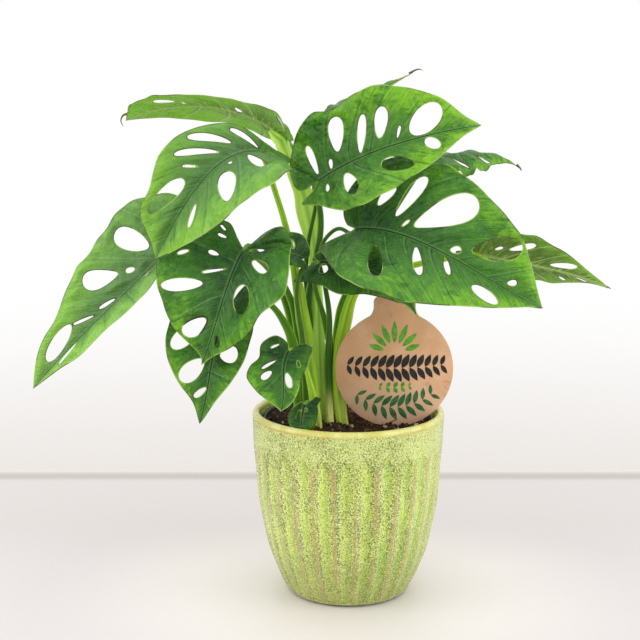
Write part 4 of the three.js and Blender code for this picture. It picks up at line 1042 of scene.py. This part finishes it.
def turned(profile, columns, press=None):
    """A closed solid of revolution about Z from (radius, height) rows whose first and last lie on the
    axis. press(angle, radius, height) may change the radius."""
    ring = np.asarray(profile[1:-1], float)
    angles = np.tile(TURN * np.arange(columns) / columns, (len(ring), 1))
    radius, height = np.repeat(ring[:, :1], columns, 1), np.repeat(ring[:, 1:], columns, 1)
    if press is not None:
        radius = press(angles, radius, height)
    points = np.stack([radius * np.sin(angles), -radius * np.cos(angles), height], -1).reshape(-1, 3)
    points = np.concatenate([points, [(0, 0, profile[0][1]), (0, 0, profile[-1][1])]])
    return points, tube_faces(len(ring), columns)


def flute_shape(angle, height):
    """1 on a ridge and 0 in a groove: |cos|^3 of half the flute's phase, so that ridges are narrow.
    It fades to 1 everywhere over rounded ends about 115 mm up, and below the foot's edge. Also returns
    how far the flutes are there, from 0 to 1."""
    ridge = np.abs(np.cos((angle - FLUTE_TURN) * FLUTES / 2))
    present = (1 - smoothstep(height + 5 * ridge, 108, 122)) * smoothstep(height, 0.5, 7)
    return 1 - (1 - ridge**3) * present, present


def press_flutes(angle, radius, height):
    """Presses the outer wall in by the flute's depth, with a slow unevenness of a fifth of a mm."""
    outside = np.arange(len(radius))[:, None] < OUTER_ROWS
    shape, _ = flute_shape(angle, height)
    uneven = 0.12 * np.sin(3 * angle + height / 17) + 0.08 * np.sin(7 * angle - height / 9)
    wall = smoothstep(height, 0, 4)
    return radius - np.where(outside, FLUTE_DEPTH * (1 - shape) - uneven * wall, 0)


# The pot's profile in (radius, height) rows: under the foot, up the outside, over the lip and down inside.
FOOT = [(0, 0), (20, 0), (38.5, 0), (40.3, 0), (41, 0.12)]
OUTER = spline([(41.3, 0.35), (45, 2.4), (49.5, 10), (54.5, 22), (59.2, 35), (63, 54), (66, 71), (68, 96),
                (69.2, 111), (69.6, 121), (69.9, 130)], 13)
LIP = spline([(70, 132.6), (69.75, 134.6), (68.7, 136), (67.2, 136.4), (65.9, 135.9), (65.1, 134.6),
              (64.8, 132.4)], 5)
INNER = spline([(64.2, 122), (63, 102), (61, 69), (54.2, 35), (43.5, 10.4), (38, 10)], 6)
FLOOR = [(15, 10), (0, 10)]
OUTER_ROWS = len(FOOT) - 1 + len(OUTER)
pot_profile = [*FOOT, *OUTER, *LIP, *INNER, *FLOOR]
pot_points, pot_faces = turned(pot_profile, POT_COLUMNS, press_flutes)
pot_angle = np.arctan2(pot_points[:, 0], -pot_points[:, 1])
ridge_field, flute_field = flute_shape(pot_angle, pot_points[:, 2])
print("pot profile rows:", len(pot_profile), "columns:", POT_COLUMNS)

# %% [markdown]
# ## The glaze
# A speckled glaze is thin on the ridges, where the tan clay shows through, and pools in the grooves,
# where it is thick and green. Dark iron specks and pale flecks float in it. The ridge number that pressed
# the flutes also steers the colour, so the tan always lies on a ridge.

# %% Glaze finish
def glaze_finish():
    """Grooves yellow-green, richer in runs, to the right and low on that side; ridges tan, and there with
    fewer of the dark specks that crowd both flanks; pale lines of painted highlight on one side of each
    ridge and a green line of painted shade on the other; painted light at the far right and painted shade
    towards the foot, with a brown line of painted shade at its edge; the band under the rim khaki; the rim
    pale with a thin honey line under it. With w once round per flute, cos(w - w0) is 1 on the line at w0."""
    f = Finish("speckled_green_glaze", Coat_Weight=0.4, Coat_Roughness=0.15, Specular_IOR_Level=0.5)
    ridge, flute, crest, lean = (f.field(name) for name in ("ridge", "flute", "crest", "lean"))
    place = f.place()
    height, sideways = f.part(place, 2), f.part(place, 0)
    runs = f.noise(f.node("Mapping", {"Vector": place, "Scale": (1, 1, 0.16)}), 150.0, 4, 0.6)
    patches = f.noise(f.node("Mapping", {"Vector": place, "Scale": (1, 1, 0.5)}), 75.0, 2)
    blotch, grit = f.noise(place, 48.0, 3), f.noise(place, 1500.0, 1)
    specks, flecks = f.noise(place, 1000.0, 2, 0.6), f.noise(place, 1050.0, 2, 0.6)

    def line(turn, start, end, amount):
        """amount on the line at turn, of a flute's width, and 0 where its cosine is below start."""
        along = f.plus(f.times(crest, np.cos(TURN * turn)), f.times(lean, np.sin(TURN * turn)))
        uneven = f.plus(along, f.around(runs, 0.5))
        return f.times(f.band(uneven, start, end, 0.0, amount), f.band(flute, 0.2, 0.8))

    low_right = f.times(f.band(sideways, 0.0, 0.03), f.band(height, 0.03, 0.085, 0.5, 0.0))
    right = f.plus(f.band(sideways, -0.035, 0.055, 0.0, 0.25), low_right)
    richer = f.plus(right, f.plus(f.around(runs, 1.6), f.around(patches, 1.4)))
    pool = f.band(f.minus(1.0, ridge), 0.15, 0.8)
    lime = f.paint(f.mix(f.band(blotch, 0.35, 0.65), (224, 240, 112), (206, 228, 88)), [
        (f.times(f.band(richer, 0.05, 0.75), pool), (150, 200, 36)),
        # painted shade low on the pot
        (f.band(height, 0.004, 0.05, 0.5, 0.0), (174, 180, 76)),
        # painted shade: a green line on one flank of each ridge
        (line(-0.36, 0.55, 0.95, 0.5), (150, 178, 48)),
        # painted highlight: a pale line on the other flank
        (line(0.25, 0.75, 1.0, 0.6), (232, 240, 164))])
    khaki = f.mix(f.band(blotch, 0.4, 0.6), (214, 228, 130), (200, 212, 114))
    bare = f.plus(f.band(ridge, 0.5, 0.98), f.around(runs, 1.8))
    thin = f.times(f.band(bare, 0.6, 1.15, 0.0, 0.8), f.band(flute, 0.2, 0.7))
    flank = f.times(f.band(ridge, 0.12, 0.6), f.band(flute, 0.1, 0.6))
    denser = f.plus(specks, f.plus(f.times(flank, 0.085), f.around(patches, -0.24)))
    iron = f.times(f.band(denser, 0.53, 0.6, 0.0, 0.85), f.minus(1.0, f.times(thin, 0.6)))
    lip = f.mix(f.band(f.noise(place, 90.0, 3), 0.4, 0.62), (232, 230, 142), (218, 210, 108))
    honey = f.times(f.band(height, 0.1314, 0.1325), f.band(height, 0.1329, 0.1337, 1.0, 0.0))
    honey = f.times(honey, f.band(f.noise(place, 40.0, 2), 0.4, 0.6, 0.2, 0.8))
    colour = f.paint(f.mix(f.band(flute, 0.05, 0.6), khaki, lime), [
        (thin, (200, 166, 94)),
        # painted highlight: a second pale line beside each ridge
        (line(0.11, 0.93, 1.0, 0.5), (230, 232, 176)),
        (iron, (84, 96, 42)),
        (f.band(grit, 0.57, 0.65, 0.0, 0.62), (72, 84, 36)),
        (f.band(flecks, 0.56, 0.63, 0.0, 0.75), (246, 250, 186)),
        # painted shade towards the foot
        (f.band(height, 0.0, 0.07, 0.35, 0.0), (146, 154, 66)),
        # painted light at the far right
        (f.band(sideways, 0.03, 0.062, 0.0, 0.26), (232, 240, 150)),
        (f.band(height, 0.1322, 0.1334, 0.0, 0.9), lip),
        (honey, (206, 166, 72)),
        # a brown line of painted shade at the foot, where it meets the table
        (f.band(height, 0.0006, 0.0024, 0.8, 0.0), (96, 82, 46))])
    gloss = f.plus(f.band(flecks, 0.5, 0.65, 0.27, 0.4), f.times(thin, 0.2))
    skin = f.bump(f.noise(place, 350.0, 2), 0.12, f.bump(specks, 0.16))
    return f.done(Base_Color=colour, Roughness=gloss, Normal=skin)


phase = (pot_angle - FLUTE_TURN) * FLUTES
add_piece("fine_pot", pot_points, pot_faces, glaze_finish(), stands_for=["pot"], slot="green_glaze",
          ridge=ridge_field, flute=flute_field, crest=np.cos(phase), lean=np.sin(phase))

# %% [markdown]
# ## Nursery pot and soil
# The nursery pot is thin black plastic with a rolled rim, the soil a bumpy disc with crumbs on it. Loose
# soil could be a particle system, but particles can't be baked into one mesh as simply, so the crumbs
# are copies of one small lump, each turned and stretched by random numbers in one array.

# %% Nursery pot
# The nursery pot's profile, up the outside, over its rolled rim and down inside.
NURSERY = [(0, 10.4), (38, 10.4), (40, 11), (48.5, 67), (56.8, 122), (57.4, 123.4), (60.6, 123.9),
           (61.6, 124.6), (61.9, 127), (61.6, 129.6), (62, 130.3), (61.9, 130.9), (61.3, 131.1),
           (60.7, 130.7), (60.5, 129.6), (60.5, 126), (59.8, 125.4), (56, 124.8), (55.4, 123.4), (47, 67),
           (38.6, 12.6), (36, 11.8), (0, 11.8)]


def black_plastic():
    """Near black, with brown dust in patches that are duller."""
    f = Finish("black_plastic", Specular_IOR_Level=0.4)
    dust = f.noise(f.place(), 260.0, 4, 0.65)
    colour = f.mix(f.band(dust, 0.5, 0.75, 0.0, 0.6), (26, 27, 27), (92, 80, 64))
    return f.done(Base_Color=colour, Roughness=f.band(dust, 0.4, 0.7, 0.42, 0.7), Normal=f.bump(dust, 0.1))


def oval(angle, radius, height):
    """The soft rim is up to 0.8 % narrower one way than the other."""
    return radius * (1 - 0.004 * (1 + np.cos(2 * angle + 1)) * smoothstep(height, 90, 130))


add_piece("fine_nursery_pot", *turned(NURSERY, 144, oval), black_plastic(), stands_for=["nursery_pot"],
          slot="black_plastic")

# %% Soil surface
SOIL_LEVEL, SOIL_RADIUS, WAVE_COUNT = 127.0, 60.1, 46
# Each wave is a direction, as long as the radians that the wave gains in a mm, and a starting phase.
WAVES = rng.normal(size=(WAVE_COUNT, 2)) * rng.uniform(0.15, 1.3, (WAVE_COUNT, 1))
PHASES = rng.uniform(0, TURN, WAVE_COUNT)


def soil_height(x, y):
    """The soil's level plus a sum of small waves in random directions, each lower the shorter it is."""
    size = 0.32 / (0.4 + np.linalg.norm(WAVES, axis=1))
    waves = np.cos(x[..., None] * WAVES[:, 0] + y[..., None] * WAVES[:, 1] + PHASES) * size
    return SOIL_LEVEL + 0.2 + np.clip(waves.sum(-1), -2.6, 2.6) - 1.2 * smoothstep(np.hypot(x, y), 46, 60)


def soil_finish():
    """Dark brown lumps. kind is 0 for the soil and random for a crumb: above 0.6 brown bark, above 0.9 a
    pale chip, and above 0.975 a nearly white grain."""
    f = Finish("potting_soil", Specular_IOR_Level=0.25)
    lumps, grain = f.noise(f.place(), 330.0, 4, 0.7), f.noise(f.place(), 1300.0, 2)
    kind = f.field("kind")
    colour = f.paint(f.mix(f.band(lumps, 0.35, 0.7), (34, 22, 15), (82, 56, 38)), [
        (f.band(kind, 0.55, 0.75), (112, 76, 48)),
        (f.band(kind, 0.9, 0.93), (176, 146, 104)),
        (f.band(kind, 0.975, 0.98), (214, 204, 184)),
        (f.band(grain, 0.6, 0.7, 0.0, 0.35), (140, 110, 78))])
    skin = f.bump(grain, 0.3, f.bump(lumps, 0.8))
    return f.done(Base_Color=colour, Roughness=f.band(lumps, 0.3, 0.7, 0.75, 0.98), Normal=skin)


SOIL_TOP = [(0, SOIL_LEVEL)] + [(radius, SOIL_LEVEL) for radius in np.linspace(0.9, SOIL_RADIUS, 70)]
SOIL_SIDE = [(SOIL_RADIUS, 124.9), (56, 124.2), (53, 110), (46, 67), (38, 13.4), (0, 13.4)]
soil_points, soil_faces = turned(SOIL_TOP + SOIL_SIDE, 220)
on_top = np.isclose(soil_points[:, 2], SOIL_LEVEL)
soil_points[on_top, 2] = soil_height(*soil_points[on_top, :2].T)
soil_brown = soil_finish()
add_piece("fine_soil", soil_points, [face[::-1] for face in soil_faces], soil_brown, stands_for=["soil"],
          slot="potting_soil", kind=np.zeros(len(soil_points)))

# %% Soil crumbs
G = (1 + 5**0.5) / 2    # the golden ratio, which makes these twenty triangles an even lump
LUMP = np.array([(-1, G, 0), (1, G, 0), (-1, -G, 0), (1, -G, 0), (0, -1, G), (0, 1, G),
                 (0, -1, -G), (0, 1, -G), (G, 0, -1), (G, 0, 1), (-G, 0, -1), (-G, 0, 1)])
LUMP_FACES = np.array([(0, 11, 5), (0, 5, 1), (0, 1, 7), (0, 7, 10), (0, 10, 11), (1, 5, 9), (5, 11, 4),
                       (11, 10, 2), (10, 7, 6), (7, 1, 8), (3, 9, 4), (3, 4, 2), (3, 2, 6), (3, 6, 8),
                       (3, 8, 9), (4, 9, 5), (2, 4, 11), (6, 2, 10), (8, 6, 7), (9, 8, 1)])
CRUMB_SPREAD = 58.0


def soil_crumbs(count, shape, low, high):
    """count lumps: each is the twelve-cornered lump with its corners shaken, stretched by shape, turned
    about Z by a random angle and tilted a little, and set on the soil within 58 mm of the middle."""
    size = low + (high - low) * rng.random(count) ** 2.2
    corners = unit(LUMP)[None] * (1 + 0.28 * rng.normal(size=(count, 12, 1)))
    corners = corners * shape * rng.uniform(0.7, 1.3, (count, 1, 3)) * size[:, None, None] / 2
    turn, tilt = rng.uniform(0, TURN, (count, 1)), rng.normal(0, 0.35, (count, 1))
    long, wide, tall = np.moveaxis(corners, -1, 0)
    x, z = long * np.cos(tilt) - tall * np.sin(tilt), long * np.sin(tilt) + tall * np.cos(tilt)
    far = CRUMB_SPREAD * np.sqrt(rng.random(count))
    bearing = rng.uniform(0, TURN, count)
    place_x, place_y = far * np.cos(bearing), far * np.sin(bearing)
    place_z = soil_height(place_x, place_y) + 0.18 * size
    turned_lump = [x * np.cos(turn) - wide * np.sin(turn), x * np.sin(turn) + wide * np.cos(turn), z]
    points = [lump + place[:, None] for lump, place in zip(turned_lump, (place_x, place_y, place_z))]
    faces = LUMP_FACES[None] + 12 * np.arange(count)[:, None, None]
    return np.stack(points, -1).reshape(-1, 3), faces.reshape(-1, 3), np.repeat(rng.random(count), 12)


grains, grain_faces, grain_kind = soil_crumbs(1500, (1, 0.8, 0.65), 0.9, 4.2)
fibres, fibre_faces, fibre_kind = soil_crumbs(260, (3.4, 0.35, 0.3), 1.4, 4.0)
add_piece("soil_crumbs", np.concatenate([grains, fibres]),
          np.concatenate([grain_faces, fibre_faces + len(grains)]), soil_brown, slot="potting_soil",
          kind=np.concatenate([grain_kind, 0.6 + 0.4 * fibre_kind]))

# %% [markdown]
# ## The tag
# A round tag of thin board on a stake, with a wide neck above, printed in a warm tan. Its outline is a
# few arcs and a flare, and its edge is rounded by pulling the outermost rings in. A plain garland of
# almond-shaped leaves decorates it, as thin raised shapes, so that it needs no picture.

# %% Tag board
TAG_X, TAG_Y, TAG_RADIUS, TAG_HALF = 32.5, -14.0, 42.4, 1.25
TAG_Z = 126.6 + TAG_RADIUS
STAKE_END, NECK_END = 112 - TAG_Z, 222 - TAG_Z      # heights above the disc's centre
STAKE_TOP = -40.6                                   # just above the disc's lowest edge
STAKE, NECK, SHOULDER, CORNER = 6.0, 15.0, 21.0, 4.0    # three half widths, and the neck's corner radius
# The edge's rings as (mm pulled in, depth from -1 at the front to 1 at the back), and how much of the
# pale cut edge shows at each.
EDGE_RINGS = [(0.45, -1.0), (0.12, -0.82), (0, -0.45), (0, 0.45), (0.12, 0.82), (0.45, 1.0)]
EDGE_SIDE = [0.0, 0.3, 1.0, 1.0, 0.3, 0.0]


def tag_outline():
    """Round the disc from the stake's right side, over the neck, and down the left side to the stake."""
    right = np.linspace(-np.arccos(STAKE / TAG_RADIUS), np.arccos(SHOULDER / TAG_RADIUS), 90)
    disc = TAG_RADIUS * np.stack([np.cos(right), np.sin(right)], 1)
    low, high = disc[-1, 1], NECK_END - CORNER
    flare = [(SHOULDER, low), (17.2, low + 2.4), (15.3, low + 6), (NECK, low + 9), (NECK, high)]
    corner = np.linspace(0, np.pi / 2, 7)[1:]
    bend = np.stack([NECK - CORNER + CORNER * np.cos(corner), high + CORNER * np.sin(corner)], 1)
    half = np.concatenate([[(STAKE, STAKE_END), (STAKE, STAKE_TOP)], disc, spline(flare, 5)[1:], bend])
    return np.concatenate([half, half[::-1] * (-1, 1)])


def board_finish():
    """Warm tan in clouds, pinker low down, with stained fibres and small chips, and a pale cut edge."""
    f = Finish("printed_board", Specular_IOR_Level=0.35)
    place = f.place()
    cloud, stain = f.noise(place, 28.0, 4, 0.6), f.noise(place, 90.0, 4, 0.7)
    colour = f.paint(f.mix(f.band(cloud, 0.35, 0.65), (232, 186, 146), (216, 166, 122)), [
        (f.band(f.part(place, 2), 0.122, 0.165, 0.7, 0.0), (240, 198, 170)),
        (f.band(stain, 0.58, 0.72, 0.0, 0.5), (182, 130, 88)),
        (f.band(f.cells(place, 420.0), 0.08, 0.2, 0.35, 0.0), (168, 118, 80)),
        (f.band(f.field("side"), 0.4, 0.6), (236, 218, 190))])
    return f.done(Base_Color=colour, Roughness=f.band(stain, 0.4, 0.7, 0.5, 0.65), Normal=f.bump(stain, 0.1))


outline = tag_outline()
normal = unit(np.roll(outline, -1, axis=0) - np.roll(outline, 1, axis=0)) @ np.array([[0, -1], [1, 0]])
rings = [np.stack([TAG_X + p[:, 0], np.full(len(p), TAG_Y + TAG_HALF * depth), TAG_Z + p[:, 1]], 1)
         for inset, depth in EDGE_RINGS for p in [outline - normal * inset]]
corner = np.arange(len(outline))
tag_faces = [face[::-1] for face in grid_faces(len(rings), len(outline), wrap=True)]
tag_faces += [corner, (corner + (len(rings) - 1) * len(outline))[::-1]]
add_piece("fine_tag", np.concatenate(rings), tag_faces, board_finish(), stands_for=["tag"], slot="tag_board",
          side=np.repeat(EDGE_SIDE, len(outline)))

# %% Printed garland
PRINT_PROUD, PRINT_SUNK = 0.12, 0.1     # how far the ink stands out of the board and reaches into it, in mm
ALMOND = 13                             # points along each side of a printed leaf


def ink(name, dark, light):
    """A matt colour, mottled between dark and light."""
    f = Finish(name, Specular_IOR_Level=0.35, Roughness=0.5)
    return f.done(Base_Color=f.mix(f.band(f.noise(f.place(), 300.0, 3), 0.35, 0.65), dark, light))


def printed_leaves(name, roots, angles, lengths, widths, finish):
    """Almond shapes a little proud of the board, which mustn't overlap. Along a leaf from 0 to 1 its half
    width is w sin(pi t)^0.8 (1.15 - 0.3 t)."""
    t = np.concatenate([np.linspace(0, 1, ALMOND), np.linspace(1, 0, ALMOND)[1:-1]])
    side = np.repeat([1, -1], [ALMOND, ALMOND - 2])
    across = side * np.sin(np.pi * t) ** 0.8 * (1.15 - 0.3 * t)
    roots, angles = np.asarray(roots, float), np.radians(angles)
    forward = np.stack([np.cos(angles), np.sin(angles)], -1)
    sideways = np.stack([-forward[:, 1], forward[:, 0]], -1)
    flat = (roots[:, None] + forward[:, None] * (t * np.asarray(lengths)[:, None])[..., None]
            + sideways[:, None] * (across * np.asarray(widths)[:, None] / 2)[..., None])
    face = TAG_Y - TAG_HALF
    layers = [np.stack([TAG_X + flat[..., 0], np.full(flat.shape[:2], depth), TAG_Z + flat[..., 1]], -1)
              for depth in (face - PRINT_PROUD, face + PRINT_SUNK)]
    points = np.stack(layers, 1)
    ring = np.arange(len(t))
    base = 2 * len(t) * np.arange(len(roots))[:, None]
    front, back = base + ring[::-1], base + len(t) + ring
    step = (ring + 1) % len(t)
    strip = np.stack([ring, step, step + len(t), ring + len(t)], -1)
    sides = (base[:, :, None] + strip[None]).reshape(-1, 4)
    add_piece(name, points.reshape(-1, 3), [*front, *back, *sides], finish, slot="tag_board", smooth=False)


def sprig(name, start, end, sag, pairs, spread, length, slender, finish):
    """Prints leaf pairs along a sagging stem, each pair spread from the stem's direction. The stem is
    sag mm lower in its middle, and the leaves there are longer. slender is a leaf's width by its length."""
    t = np.linspace(0.06, 0.94, pairs)
    start, end = np.array(start, float), np.array(end, float)
    middle = start + (end - start) * t[:, None] + np.stack([0 * t, -4 * sag * t * (1 - t)], -1)
    heading = np.degrees(np.arctan2(end[1] - start[1] - 4 * sag * (1 - 2 * t), end[0] - start[0]))
    angles = np.stack([heading + spread, heading - spread], 1).ravel()
    lengths = np.repeat(length * (0.75 + 0.5 * np.sin(np.pi * t)), 2)
    printed_leaves(name, np.repeat(middle, 2, axis=0), angles, lengths, slender * lengths, finish)


black = ink("black_ink", (22, 22, 20), (44, 42, 38))
dark_green = ink("dark_green_ink", (34, 86, 48), (64, 124, 66))
bright_green = ink("bright_green_ink", (78, 150, 34), (112, 180, 48))
sprig("printed_black_garland", (-38, 4), (38, 4), 3, 13, 62, 9.2, 0.42, black)
fan = np.linspace(20, 160, 7)
fan_x, fan_y = np.cos(np.radians(fan)), np.sin(np.radians(fan))
printed_leaves("printed_tuft", np.stack([8 * fan_x, 11.5 + 8 * fan_y], 1), fan, 9 + 7 * fan_y,
               np.full(len(fan), 4.2), bright_green)
sprig("printed_dark_sprig", (-30, -15.8), (30, -15.8), 12, 10, 58, 9, 0.36, dark_green)
sprig("printed_bright_sprig", (-12, -12.2), (12, -12.2), 1, 5, 60, 3.9, 0.6, bright_green)
